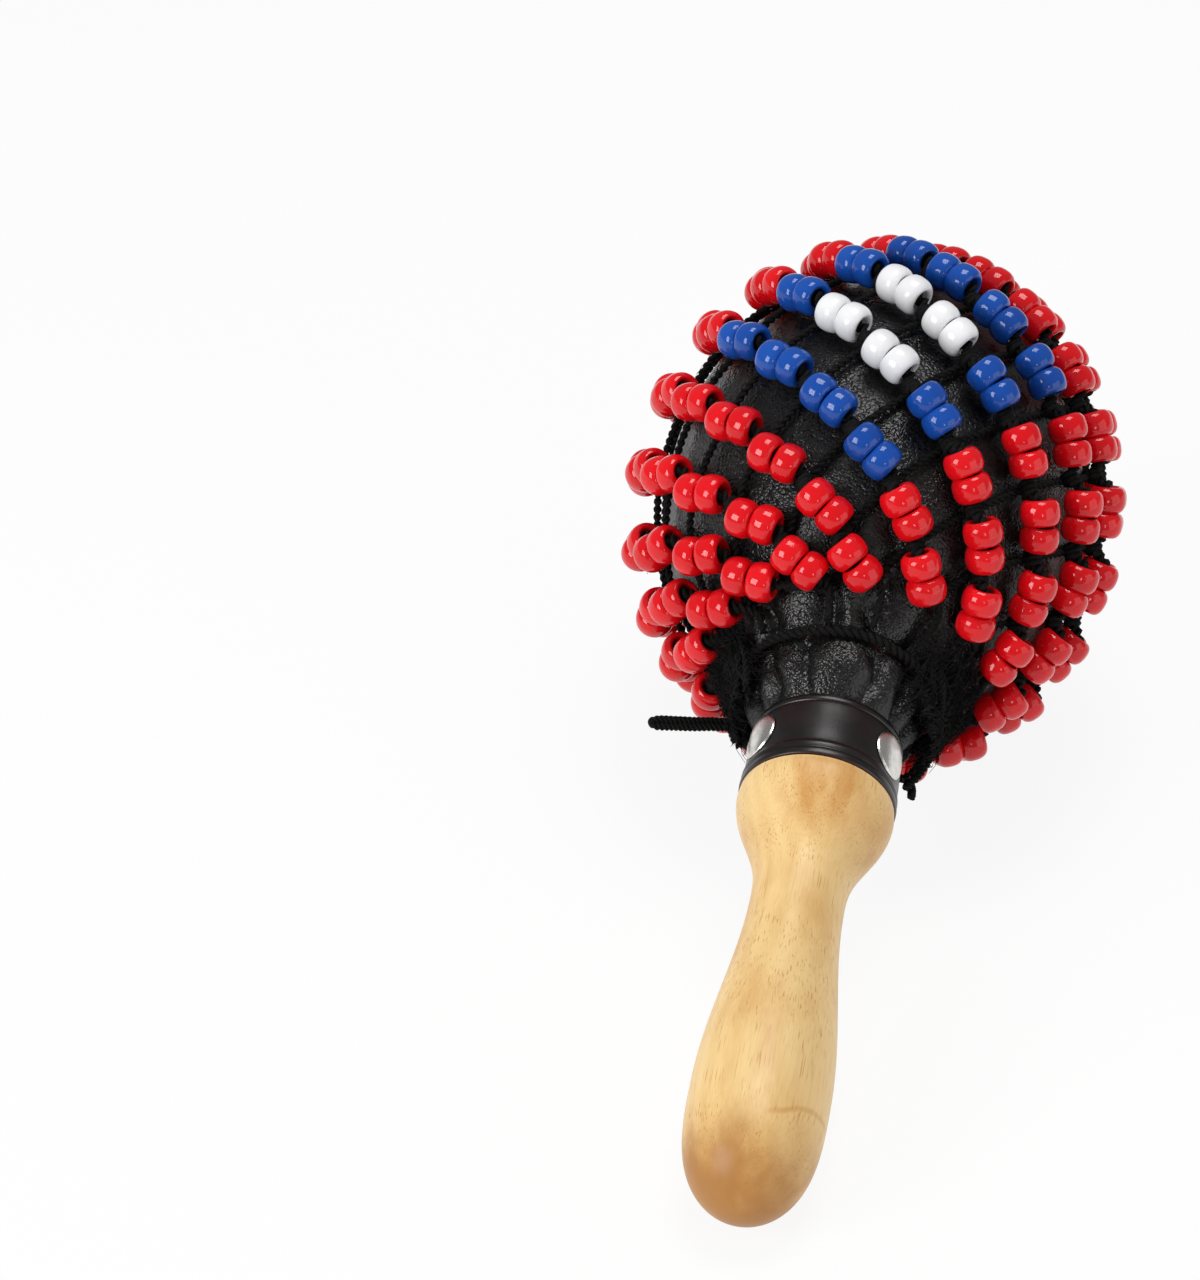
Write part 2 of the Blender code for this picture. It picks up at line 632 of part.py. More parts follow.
def lay_down(pieces, loose):
    # Tips the axis until the grip and the beads touch one level floor, then centres the whole over
    # the origin. The loose cord pieces follow along without counting in the box.
    bpy.context.view_layer.update()
    points = {piece.name: solid_points(piece) for piece in pieces}
    grip = points["handle"]
    beads = np.vstack([shape for name, shape in points.items() if name.startswith("bead_strand")])

    def lowest(shape, rise):
        return float((-shape[:, 1] * math.cos(rise) + shape[:, 2] * math.sin(rise)).min())

    low = 0.0
    high = STEEPEST_RISE
    for _ in range(50):
        rise = (low + high) / 2
        if lowest(grip, rise) < lowest(beads, rise):
            high = rise
        else:
            low = rise
    turn = Matrix.Rotation(rise - math.pi / 2, 4, "X")
    counted = np.vstack([shape for name, shape in points.items() if name not in loose])
    counted = counted @ np.array(turn.to_3x3()).T
    least = counted.min(axis=0)
    most = counted.max(axis=0)
    shift = Vector((-(least[0] + most[0]) / 2, -(least[1] + most[1]) / 2, -least[2]))
    axis_empty.matrix_world = Matrix.Translation(shift) @ turn
    centre = axis_empty.matrix_world @ Vector((0.0, 0.0, EQUATOR))
    print(f"rise {math.degrees(rise):.3f} degrees, butt at {tuple(round(v, 5) for v in shift)}")
    print(f"head centre at {tuple(round(v, 5) for v in centre)}, size {tuple((most - least).round(4))}")


clear_scene()
materials = make_materials()
axis_empty = bpy.data.objects.new("maraca_axis", None)
bpy.context.collection.objects.link(axis_empty)

net = NetSurface()
handle = make_handle()
collar = make_collar()
head = make_head()
make_studs()
cut_stud_holes(handle, collar, head)
make_shot(net)

rows = net_rows(net)
for mesh_number in range(MESHES_ROUND):
    make_strand(net, rows, mesh_number)
    make_cross_cord(net, rows, mesh_number)
make_crown_ring(net)
draw_radius, draw_height = make_draw_cord(net)
bow_centre, bow_out = make_bow_knot(draw_radius, draw_height)
make_lace_loop(bow_centre, bow_out)
make_tails(draw_radius, draw_height)

nodes = [piece for piece in axis_empty.children if not piece.hide_render]
lay_down(nodes, loose=("lace_loop", "cord_tail_1", "cord_tail_2"))
bpy.context.view_layer.update()
print(f"{len(nodes)} pieces, {len(rows)} rows of beads, row pitch {1000 * (rows[1] - rows[0]):.2f} mm")
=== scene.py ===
# Beaded maraca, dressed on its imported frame.
# Shapes are worked out in millimetres along the maraca's own axis, from the butt of the handle to the crown,
# and angles go round that axis from the side that lies uppermost towards the maraca's right.
import json
import math

import bpy
import numpy as np
from mathutils import Matrix, Vector


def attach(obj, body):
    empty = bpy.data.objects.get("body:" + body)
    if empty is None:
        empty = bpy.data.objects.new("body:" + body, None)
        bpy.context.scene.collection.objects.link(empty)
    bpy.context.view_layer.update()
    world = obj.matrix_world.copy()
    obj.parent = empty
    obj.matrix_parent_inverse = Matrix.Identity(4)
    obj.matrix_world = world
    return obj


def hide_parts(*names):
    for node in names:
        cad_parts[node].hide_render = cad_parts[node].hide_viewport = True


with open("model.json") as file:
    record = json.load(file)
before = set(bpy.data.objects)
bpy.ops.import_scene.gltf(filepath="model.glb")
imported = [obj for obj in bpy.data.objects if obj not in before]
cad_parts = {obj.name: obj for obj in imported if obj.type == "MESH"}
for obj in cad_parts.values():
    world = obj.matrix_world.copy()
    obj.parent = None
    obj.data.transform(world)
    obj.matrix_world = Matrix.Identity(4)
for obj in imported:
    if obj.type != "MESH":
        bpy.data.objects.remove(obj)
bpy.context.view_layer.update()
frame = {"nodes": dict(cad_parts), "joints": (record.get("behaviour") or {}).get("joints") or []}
mm = 0.001
fullTurn = 2 * math.pi

# The net turns about the maraca's axis, so its joint gives the axis and the middle of the head.
netTurn = next(joint for joint in frame["joints"] if joint["name"] == "net_turn")
axisDir = np.array(netTurn["axis"]) / np.linalg.norm(netTurn["axis"])
rightDir = np.array([1.0, 0.0, 0.0])
topDir = np.cross(rightDir, axisDir)
headCentre = np.array(netTurn["pos_m"]) / mm
levels = {"collarBottom": 108.6, "collarTop": 126.8, "gather": 140.9, "equator": 200.7}
butt = headCentre - levels["equator"] * axisDir
print("frame: axis", axisDir.round(4), "butt", butt.round(2))


def unit(vectors):
    # each vector divided by its own length
    return vectors / np.linalg.norm(vectors, axis=-1, keepdims=True)


def squareTo(vectors, ahead):
    # the part of each vector square to ahead, v - (v . ahead) * ahead, made unit
    return unit(vectors - (vectors * ahead).sum(-1, keepdims=True) * ahead)


def onceRound(steps):
    # even angles once round
    return np.arange(steps) * fullTurn / steps


def swung(angle, first, second):
    # cos angle * first + sin angle * second
    return np.cos(angle)[..., None] * first + np.sin(angle)[..., None] * second


def distances(points):
    # way gone along a path at each of its points
    return np.concatenate([[0.0], np.cumsum(np.linalg.norm(np.diff(points, axis=0), axis=1))])


def roundAxis(radius, height, angle):
    # point = butt + height * axis + radius * (cos angle * top + sin angle * right)
    radius, height, angle = np.broadcast_arrays(radius, height, angle)
    return butt + radius[..., None] * swung(angle, topDir, rightDir) + height[..., None] * axisDir


def smoothRoute(points, perSpan):
    # Catmull-Rom curve: each span blends its four nearest points by cubic weights of t
    points = np.asarray(points, float)
    ends = np.vstack([2 * points[0] - points[1], points, 2 * points[-1] - points[-2]])
    t = (np.arange(perSpan) / perSpan)[None, :, None]
    before, start, end, after = (ends[i:len(ends) - 3 + i, None] for i in range(4))
    spans = 0.5 * (2 * start + (end - before) * t + (2 * before - 5 * start + 4 * end - after) * t ** 2
                   + (3 * start - before - 3 * end + after) * t ** 3)
    return np.vstack([spans.reshape(-1, points.shape[1]), points[-1:]])


def acrossAndOut(points, ups):
    # Two unit vectors square to a path: out leans towards ups, across finishes the right-handed set.
    ahead = unit(np.gradient(points, axis=-2))
    out = squareTo(ups, ahead)
    return np.cross(ahead, out), out


def tubeRings(points, ups, radius, sides):
    # ring point = path point + radius * (cos b * out + sin b * across), b once round
    across, out = acrossAndOut(points, ups)
    spokes = swung(onceRound(sides), out[..., None, :], across[..., None, :])
    radius = np.broadcast_to(radius, points.shape[:-1])
    return points[..., None, :] + radius[..., None, None] * spokes


def ropeRings(points, ups, radius, lay, plies, sides, closed=False, fat=1.08):
    # each ply runs round the path on a helix of one turn per lay; plies of fat 1 touch, fatter ones merge
    across, out = acrossAndOut(points, ups)
    along = distances(points)
    if closed:
        whole = along[-1] + np.linalg.norm(points[0] - points[-1])
        lay = whole / round(whole / lay)
    radius = np.broadcast_to(radius, len(points))[:, None]
    plyRadius = radius * math.sin(math.pi / plies) / (1 + math.sin(math.pi / plies))
    turn = fullTurn * (along[None, :] / lay + np.arange(plies)[:, None] / plies)
    centres = points + (radius - plyRadius) * swung(turn, out, across)
    spokes = swung(onceRound(sides), out[:, None], across[:, None])
    return centres[:, :, None, :] + fat * plyRadius[:, None] * spokes[None]


def placed(name, data):
    # an object of this data, in the scene
    made = bpy.data.objects.new(name, data)
    bpy.context.scene.collection.objects.link(made)
    return made


class Pile:
    # Gathers grids of points into one mesh. A grid is (copies, rows, columns, 3): rows run along the
    # piece, columns run once round it, and the outside is where columns x rows points.
    def __init__(self):
        self.points = []
        self.corners = []
        self.sizes = []
        self.finishes = []
        self.tones = []
        self.count = 0

    def addFaces(self, corners, finish):
        # faces as point numbers, and a finish for all of them or for each copy
        self.corners.append(corners.reshape(-1))
        faces = corners.size // corners.shape[-1]
        self.sizes.append(np.full(faces, corners.shape[-1]))
        finish = np.asarray(finish).reshape(-1, *[1] * (corners.ndim - 2))
        self.finishes.append(np.broadcast_to(finish, corners.shape[:-1]).reshape(-1))

    def grid(self, points, finish=0, tone=0.5, closeRows=False):
        # quad = a point, the next one round, and these two in the next row; open ends are capped
        points = np.asarray(points, float)
        points = points.reshape((-1,) + points.shape[-3:])
        copies, rows, columns = points.shape[:3]
        index = self.count + np.arange(copies * rows * columns).reshape(copies, rows, columns)
        aside = np.roll(index, -1, axis=2)
        quads = np.stack([index, aside, np.roll(aside, -1, axis=1), np.roll(index, -1, axis=1)], axis=-1)
        self.addFaces(quads if closeRows else quads[:, :-1], finish)
        if not closeRows:
            self.addFaces(index[:, 0, ::-1][:, None], finish)
            self.addFaces(index[:, -1][:, None], finish)
        tone = np.asarray(tone, float).reshape(-1, 1, 1)
        self.tones.append(np.broadcast_to(tone, index.shape).reshape(-1))
        self.points.append(points.reshape(-1, 3))
        self.count += points.size // 3

    def build(self, name, finishes, body, slot, stands, rounding=0, edge=50.0):
        # One mesh object, in metres, that rides on a body and stands in for CAD nodes.
        corners = np.concatenate(self.corners)
        sizes = np.concatenate(self.sizes)
        mesh = bpy.data.meshes.new(name)
        mesh.vertices.add(self.count)
        mesh.vertices.foreach_set("co", (np.concatenate(self.points) * mm).ravel())
        mesh.loops.add(len(corners))
        mesh.loops.foreach_set("vertex_index", corners)
        mesh.polygons.add(len(sizes))
        mesh.polygons.foreach_set("loop_start", np.cumsum(sizes) - sizes)
        mesh.polygons.foreach_set("material_index", np.concatenate(self.finishes).astype(np.int32))
        mesh.update(calc_edges=True)
        mesh.attributes.new("tone", "FLOAT", "POINT").data.foreach_set(
            "value", np.concatenate(self.tones).astype(np.float32))
        mesh.shade_smooth()
        mesh.set_sharp_from_angle(angle=math.radians(edge))
        for finish in finishes:
            mesh.materials.append(finish)
        piece = placed(name, mesh)
        if rounding:
            smoothing = piece.modifiers.new("rounding", "SUBSURF")
            smoothing.levels = rounding
            smoothing.render_levels = rounding
        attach(piece, body)
        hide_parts(*stands)
        return piece


class Wire:
    # One socket of a node tree, so that shader maths reads as plain sums.
    def __init__(self, tree, socket=None):
        self.tree = tree
        self.socket = socket

    def node(self, kind, settings=None, sockets=None, output=0):
        # Any node: its settings first, then values or links by socket name or number.
        made = self.tree.nodes.new(kind)
        for name, value in (settings or {}).items():
            setattr(made, name, value)
        for name, value in (sockets or {}).items():
            if isinstance(value, Wire):
                self.tree.links.new(value.socket, made.inputs[name])
            else:
                made.inputs[name].default_value = value
        return Wire(self.tree, made.outputs[output])

    def beside(self, output):
        # another output of the same node
        return Wire(self.tree, self.socket.node.outputs[output])

    def maths(self, operation, first, second=0.0):
        # one Math node on two values
        return self.node("ShaderNodeMath", {"operation": operation}, {0: first, 1: second})

    def __add__(self, other):
        return self.maths("ADD", self, other)

    def __sub__(self, other):
        return self.maths("SUBTRACT", self, other)

    def __rsub__(self, other):
        return self.maths("SUBTRACT", other, self)

    def __mul__(self, other):
        return self.maths("MULTIPLY", self, other)

    def __pow__(self, other):
        return self.maths("POWER", self, other)

    __radd__ = __add__
    __rmul__ = __mul__

    def between(self, low, high):
        # 0 below low, 1 above high, smooth between them
        return self.node("ShaderNodeMapRange", {"interpolation_type": "SMOOTHSTEP"},
                         {"Value": self, "From Min": low, "From Max": high})

    def blend(self, first, second):
        # the first colour where this is 0, the second where it is 1
        return self.node("ShaderNodeMix", {"data_type": "RGBA"}, {0: self, 6: first, 7: second}, 2)

    def stretched(self, scale):
        # coordinates times a scale along each axis
        return self.node("ShaderNodeMapping", {"vector_type": "POINT"}, {"Vector": self, "Scale": scale})

    def noise(self, scale, detail=2.0, rough=0.5):
        # cloudy noise from 0 to 1, in which each finer layer is rough times as strong as the one before
        return self.node("ShaderNodeTexNoise", None, {
            "Vector": self, "Scale": scale, "Detail": detail, "Roughness": rough})


def ownAxes(wire):
    # Object coordinates turned and moved into the maraca's own axes, in millimetres:
    # x right, y down, z along the axis from the butt
    rise = math.atan2(axisDir[2], axisDir[1])
    turn = Matrix.Rotation(math.pi / 2 - rise, 3, "X")
    return wire.node("ShaderNodeMapping", {"vector_type": "POINT"}, {
        "Vector": wire.node("ShaderNodeTexCoord", output=3), "Location": -(turn @ Vector(butt)),
        "Rotation": turn.to_euler(), "Scale": [1 / mm] * 3})


def startMaterial(name, **constants):
    # A Principled material with constants on its sockets; an underscore in a name stands for a space.
    made = bpy.data.materials.new(name)
    made.use_nodes = True
    shader = made.node_tree.nodes["Principled BSDF"]
    for socket, value in constants.items():
        shader.inputs[socket.replace("_", " ")].default_value = value
    return made, Wire(made.node_tree)


def finishMaterial(made, bump=None, depth=0.1, **links):
    # Links wires to the shader, and a height in millimetres to its normal.
    shader = made.node_tree.nodes["Principled BSDF"]
    if bump:
        links["Normal"] = bump.node("ShaderNodeBump", None, {"Height": bump, "Distance": depth * mm})
    for socket, wire in links.items():
        made.node_tree.links.new(wire.socket, shader.inputs[socket.replace("_", " ")])
    return made


wood = {
    "pale": (0.87, 0.62, 0.28, 1.0), "amber": (0.62, 0.31, 0.085, 1.0), "pore": (0.47, 0.18, 0.04, 1.0),
    "buttTone": (0.42, 0.185, 0.044, 1.0), "buttReach": 22.0, "ringWidth": 4.6, "pith": (-34.0, 27.0),
    # where the amber patches lie under the collar, in the maraca's own axes, and their cores and edges: the
    # first is a stain in the wood, the second, at the right edge, is painted shade
    "patch": (2.0, -17.0, 101.0), "patchReach": (3.0, 16.0),
    "rightShadePatch": (17.0, -4.0, 99.0), "rightShadePatchReach": (2.0, 17.0),
    # height of a band thick with pores, and of a growth line over the butt with its rise to the right
    "poreBand": 54.5, "growthLine": 15.0, "growthRise": 0.5,
    # how far each of these takes the colour from pale to amber
    "warmth": {"figure": 0.42, "rings": 0.14, "fibres": 0.6, "stainAndShade": 0.6, "line": 0.4, "butt": 0.6},
}
tones = {
    # the two colours that each finish varies between, and the one at the collar's foot
    "red": ((0.64, 0.003, 0.007, 1.0), (0.80, 0.006, 0.012, 1.0)),
    "blue": ((0.006, 0.055, 0.31, 1.0), (0.010, 0.085, 0.43, 1.0)),
    "white": ((0.83, 0.83, 0.85, 1.0), (0.90, 0.90, 0.91, 1.0)),
    # for the hide: the darker colour is painted shade in the pebbles' crevices, the lighter one a painted
    # glint on their tops
    "hide": ((0.003, 0.003, 0.003, 1.0), (0.0105, 0.01, 0.0096, 1.0)),
    "yarn": ((0.002, 0.002, 0.002, 1.0), (0.015, 0.0148, 0.0142, 1.0)),
    "collar": ((0.003, 0.003, 0.0033, 1.0), (0.007, 0.0068, 0.0068, 1.0)),
    "foot": (0.030, 0.010, 0.006, 1.0),
    "nickel": ((0.76, 0.75, 0.72, 1.0), (0.64, 0.61, 0.57, 1.0)),
    "shot": ((0.30, 0.30, 0.31, 1.0), (0.16, 0.16, 0.165, 1.0)),
}


def makeWood():
    # Pale wood: blotches of amber, rings round a pith outside the turning, fibres and short brown pores, and
    # a patch of painted shade at the right edge below the collar.
    f = wood
    made, wire = startMaterial("paleWood", Specular_IOR_Level=0.3, Coat_Weight=0.12, Coat_Roughness=0.24)
    coords = ownAxes(wire)
    x = wire.node("ShaderNodeSeparateXYZ", None, {0: coords})
    y, z = x.beside(1), x.beside(2)
    figure = coords.stretched((1.0, 1.0, 0.45)).noise(0.1, 3.0, 0.55)
    wander = coords.stretched((1.0, 1.0, 0.15)).noise(0.12)
    reach = ((x - f["pith"][0]) ** 2.0 + (y - f["pith"][1]) ** 2.0) ** 0.5 + wander * 5.0
    rings = wire.maths("SINE", reach * (fullTurn / f["ringWidth"])) * 0.5 + 0.5
    fibres = coords.stretched((1.0, 1.0, 0.03)).noise(3.4, 3.0, 0.6)
    flecks = coords.stretched((1.0, 1.0, 0.036)).noise(3.8, 1.0, 0.4)
    patches = coords.noise(0.15, 1.0).between(0.4, 0.58)
    band = 1 - wire.maths("ABSOLUTE", z - f["poreBand"]).between(1.0, 5.0)
    pores = flecks.between(0.6, 0.7) * wire.maths("MINIMUM", 0.2 + 0.8 * patches + band * 0.6, 1.0)
    offLine = z - f["growthLine"] - x * f["growthRise"] - wander * 3.0 + 1.5
    line = 1 - wire.maths("ABSOLUTE", offLine).between(0.1, 1.1)
    line = line * x.between(2.0, 7.0) * (1 - y.between(-4.0, 2.0))   # only at the upper right
    # the first patch is a stain in the wood; the second, at the right edge, is painted shade, and the two are
    # added together
    stainAndShade, paintedRightShade = (
        1 - wire.node("ShaderNodeVectorMath", {"operation": "DISTANCE"}, {0: coords, 1: f[key]}, 1).between(
            *f[key + "Reach"]) for key in ("patch", "rightShadePatch"))
    stainAndShade = stainAndShade * figure.between(0.3, 0.55) + paintedRightShade * 0.8
    buttEnd = 1 - (z + (figure - 0.5) * 40.0).between(0.0, f["buttReach"])
    share = f["warmth"]
    warm = figure.between(0.42, 0.72) * share["figure"] + rings * share["rings"]
    warm = warm + (fibres - 0.5) * share["fibres"] + stainAndShade * share["stainAndShade"] + line * share["line"]
    warm = warm + buttEnd * (share["butt"] + rings * 0.12)
    colour = (buttEnd * 0.95).blend(warm.blend(f["pale"], f["amber"]), f["buttTone"])
    colour = (pores * 0.6).blend(colour, f["pore"])
    return finishMaterial(made, fibres, 0.015, Base_Color=colour, Roughness=0.34 + fibres * 0.2)


def makeBeadPlastic(colour):
    # Glossy plastic: each bead has its own tone, with shallow dents and hazy scuffs.
    made, wire = startMaterial(f"{colour}Bead", Specular_IOR_Level=0.42)
    coords = ownAxes(wire)
    tone = wire.node("ShaderNodeAttribute", {"attribute_name": "tone"}, output=2)
    haze = coords.noise(0.55, 3.0)
    dents = coords.noise(0.42, 1.0)
    return finishMaterial(made, dents, 0.05, Base_Color=(tone * 0.7 + haze * 0.3).blend(*tones[colour]),
                          Roughness=0.07 + haze.between(0.45, 0.75) * 0.1)


def makeHideLeather():
    # Black hide: a grain of round pebbles, 1 - distance^2 from the nearest pebble's middle, bent by a slow
    # noise. It is rubbed flatter in patches, with a slow rise and fall under it. Its colour holds painted
    # light:
    # darker in the crevices as painted shade, lighter on the pebble tops as painted glints.
    made, wire = startMaterial("blackHide", Specular_IOR_Level=0.42)
    coords = ownAxes(wire)
    bent = wire.node("ShaderNodeVectorMath", {"operation": "MULTIPLY_ADD"}, {
        0: coords.noise(0.8, 1.0).beside(1), 1: (1.2, 1.2, 1.2), 2: coords})
    pebbles = 1 - wire.node("ShaderNodeTexVoronoi", None, {"Vector": bent, "Scale": 1.35}) ** 2.0
    rubbed = coords.noise(0.09).between(0.36, 0.64)
    height = pebbles * (1 - 0.35 * rubbed) + coords.noise(0.3) * 1.2
    # colour from the pebbles: painted shade in their crevices, painted glints on their tops
    return finishMaterial(made, height, 0.19, Base_Color=pebbles.between(0.5, 0.95).blend(*tones["hide"]),
                          Roughness=0.22 + 0.1 * rubbed)


def makeYarn():
    # Black twisted yarn: dull, with fine fibre streaks.
    made, wire = startMaterial("blackYarn", Specular_IOR_Level=0.14)
    fluff = ownAxes(wire).noise(3.4, 3.0, 0.65)
    return finishMaterial(made, fluff, 0.18, Base_Color=fluff.between(0.35, 0.7).blend(*tones["yarn"]),
                          Roughness=0.72 + fluff * 0.2)


def makeCollarPlastic():
    # Satin black ferrule with faint turned scratches, browner at the very foot.
    made, wire = startMaterial("blackCollar", Specular_IOR_Level=0.5)
    coords = ownAxes(wire)
    z = wire.node("ShaderNodeSeparateXYZ", None, {0: coords}, 2) - levels["collarBottom"]
    scratches = coords.stretched((0.12, 0.12, 3.0)).noise(1.6, 3.0, 0.6)
    smears = coords.noise(0.22)
    colour = z.between(0.15, 0.7).blend(tones["foot"], smears.between(0.4, 0.7).blend(*tones["collar"]))
    return finishMaterial(made, scratches, 0.02, Base_Color=colour,
                          Roughness=0.22 + smears * 0.12 + scratches * 0.06)


def makeNickel():
    # Nickel plate, softly brushed and a little tarnished.
    made, wire = startMaterial("nickel", Metallic=1.0)
    coords = ownAxes(wire)
    tarnish = coords.noise(0.5, 3.0)
    brushed = coords.stretched((1.0, 1.0, 0.2)).noise(4.0)
    return finishMaterial(made, brushed, 0.012, Base_Color=tarnish.between(0.35, 0.7).blend(*tones["nickel"]),
                          Roughness=0.2 + tarnish * 0.16)


def makeShotMetal():
    # Grey shot with patches of dull oxide.
    made, wire = startMaterial("dullShot")
    oxide = ownAxes(wire).noise(0.9, 3.0).between(0.4, 0.65)
    return finishMaterial(made, oxide, 0.05, Base_Color=oxide.blend(*tones["shot"]), Metallic=1 - 0.4 * oxide,
                          Roughness=0.42 + oxide * 0.25)


paleWood = makeWood()
beadPlastics = [makeBeadPlastic(colour) for colour in ("red", "blue", "white")]
blackHide = makeHideLeather()
blackYarn = makeYarn()
blackCollar = makeCollarPlastic()
nickel = makeNickel()
dullShot = makeShotMetal()
print("materials: wood, beads, hide, yarn, collar, nickel, shot")


def turnedPiece(name, profile, around, finish, slot, stands, closed=False):
    # Lathe: radius and height pairs, from the bottom up the outside, carried once round the axis.
    profile = np.asarray(profile, float)
    angle = onceRound(around)
    pile = Pile()
    pile.grid(roundAxis(profile[:, None, 0], profile[:, None, 1], angle[None]), closeRows=closed)
    return pile.build(name, [finish], "maraca", slot, stands)


handleForm = {
    "grip": (14.6, 30.0), "waist": (10.15, 80.5), "bulge": (17.3, 106.5), "shoulder": (17.1, 108.3),
    "tenon": (12.6, 131.3), "chamfer": 1.2, "buttFullness": 3.2, "coveLag": 1.25, "around": 128,
    # steps along the butt, to the waist, to the bulge and to the shoulder
    "steps": (60, 60, 40, 6),
}


def halfWave(start, end, steps, lag=1.0):
    # radius swings from one turned high or low to the next along half a cosine wave
    share = np.linspace(0.0, 1.0, steps + 1)[1:, None]
    swing = (1 - np.cos(math.pi * share ** lag)) / 2
    start, end = np.array(start), np.array(end)
    return np.hstack([start[0] + (end[0] - start[0]) * swing, start[1] + (end[1] - start[1]) * share])


def makeHandle():
    # butt radius = grip * sqrt(1 - dip^fullness), dip falling from 1 at the tip to 0 at the grip; half waves
    # lead on to the shoulder, and a plain tenon follows
    f = handleForm
    buttSteps, gripSteps, coveSteps, shoulderSteps = f["steps"]
    dip = np.sin(np.linspace(math.pi / 2, 0.0, buttSteps + 1))[1:, None]
    butted = np.hstack([f["grip"][0] * np.sqrt(1 - dip ** f["buttFullness"]), f["grip"][1] * (1 - dip)])
    radius, top = f["tenon"]
    tenon = [(radius, f["shoulder"][1]), (radius, top - f["chamfer"]), (radius - f["chamfer"], top)]
    profile = np.vstack([
        butted, halfWave(f["grip"], f["waist"], gripSteps),
        halfWave(f["waist"], f["bulge"], coveSteps, f["coveLag"]),
        halfWave(f["bulge"], f["shoulder"], shoulderSteps), tenon])
    turnedPiece("turnedHandle", profile, f["around"], paleWood, "pale_wood", ["handle"])


collarForm = {
    # radius and height above the collar's foot, up its outside: rolled foot, bead, body, groove and upper lip
    "outside": [(16.85, 0.0), (17.25, 0.25), (17.42, 0.95), (17.38, 1.7), (17.1, 2.2), (17.22, 2.7),
                (17.34, 3.3), (17.24, 3.95), (17.02, 4.6), (16.96, 8.0), (16.8, 12.6), (16.7, 15.7),
                (16.4, 16.1), (16.62, 16.5), (16.7, 17.2), (16.5, 17.95), (16.05, 18.2)],
    "bore": 15.6, "around": 128, "perSpan": 6,
}


def makeCollar():
    # a smooth route up the outside and a straight bore back down
    outside = smoothRoute(collarForm["outside"], collarForm["perSpan"])
    outside[:, 1] += levels["collarBottom"]
    bore = [(collarForm["bore"], outside[-1, 1]), (collarForm["bore"], outside[0, 1])]
    turnedPiece("ferrule", np.vstack([outside, bore]), collarForm["around"], blackCollar, "black_collar",
                ["collar"], closed=True)


studForm = {
    "firstAngle": 63.0, "count": 3, "radius": 5.3, "dome": 0.6, "domeShape": 0.8, "rim": 0.3, "seat": 16.95,
    "height": 10.0, "shank": 1.0, "depth": 9.4, "tipRadius": 0.1, "tipLength": 1.0, "hug": 0.95,
    "around": 48, "steps": 14, "pole": 0.02,
    # the rolled rim, as (past the cap's radius, height)
    "edge": [(0.12, 0.165), (0.0, 0.05), (-0.5, 0.0)],
}


def makeStuds():
    # Domed tacks: height = rim + dome * cos^shape of the share from middle to rim, and the rim bends down
    # with the collar's curve: drop = hug * sideways^2 / (2 * seat)
    f = studForm
    share = np.linspace(f["pole"], 1.0, f["steps"]) * math.pi / 2
    dome = f["rim"] + f["dome"] * np.cos(share) ** f["domeShape"]
    cap = np.stack([f["radius"] * np.sin(share), dome], axis=1)
    edge = np.array(f["edge"]) + (f["radius"], 0.0)
    pin = [(f["shank"], 0.0), (f["shank"], f["tipLength"] - f["depth"]), (f["tipRadius"], -f["depth"])]
    profile = np.vstack([cap, edge, pin])[::-1]
    b = onceRound(f["around"])
    aside, along = (profile[:, None, :1] * np.stack([np.cos(b), np.sin(b)], axis=-1)).transpose(2, 0, 1)
    height = profile[:, None, 1]
    lift = height - np.where(height >= 0.0, f["hug"] * aside ** 2 / (2 * f["seat"]), 0.0)
    for number in range(f["count"]):
        angle = math.radians(f["firstAngle"]) + number * fullTurn / f["count"]
        out = swung(angle, topDir, rightDir)
        middle = roundAxis(f["seat"], levels["collarBottom"] + f["height"], angle)
        points = middle + lift[..., None] * out + aside[..., None] * np.cross(axisDir, out)
        points = points + along[..., None] * axisDir
        pile = Pile()
        pile.grid(points[:, ::-1])
        pile.build(f"domedStud_{number + 1}", [nickel], "maraca", "nickel", [f"stud_{number + 1}"], edge=60.0)


makeHandle()
makeCollar()
makeStuds()
print("handle, collar and studs turned")

hideForm = {
    "radius": 49.1, "crown": 60.2, "shoulderAngle": -52.0, "gatherRadius": 21.5, "puff": (19.3, 133.6),
    "neckRadius": 15.3, "mouth": 108.9, "wall": 2.4, "pole": 0.15, "around": 252, "arcSteps": 150,
    "neckSteps": 26, "neckRows": 6, "innerStep": 3,
    # degrees round the neck of the pleats above the gather and of the valleys between the puffs below it
    "pleats": [-68.0, -44.0, -5.0, 18.5, 47.0, 74.0, 103.0, 131.0, 160.0, 190.0, 218.0, 247.0, 272.0],
    "valleys": [-70.0, -46.0, -17.5, 29.0, 58.0, 83.0, 108.0, 138.0, 166.0, 196.0, 224.0, 253.0],
    "pleatDepth": 3.0, "pleatWidth": 1.9, "pleatWidening": 20.0, "pleatReach": 16.0, "pleatPower": 1.3,
    # a pleat's faint far end: share of its depth and reach up the bag
    "pleatTrace": (0.15, 40.0),
    "puffRise": 0.6, "puffPower": 0.7, "valleyDepth": 2.2, "valleyWidth": 2.2, "valleyPower": 1.4,
    # waves that bend the folds: radians, phase a millimetre up and waves round
    "waver": [(0.035, 0.35, 4.0), (0.02, 0.9, 9.0)],
    "grooveDepth": 1.1, "grooveWidth": 1.2,
    "dent": 0.5, "dents": 9, "dentWaves": (2, 11), "dentSteepness": (0.05, 0.22), "dentChange": 0.6,
    "seed": 5,
}


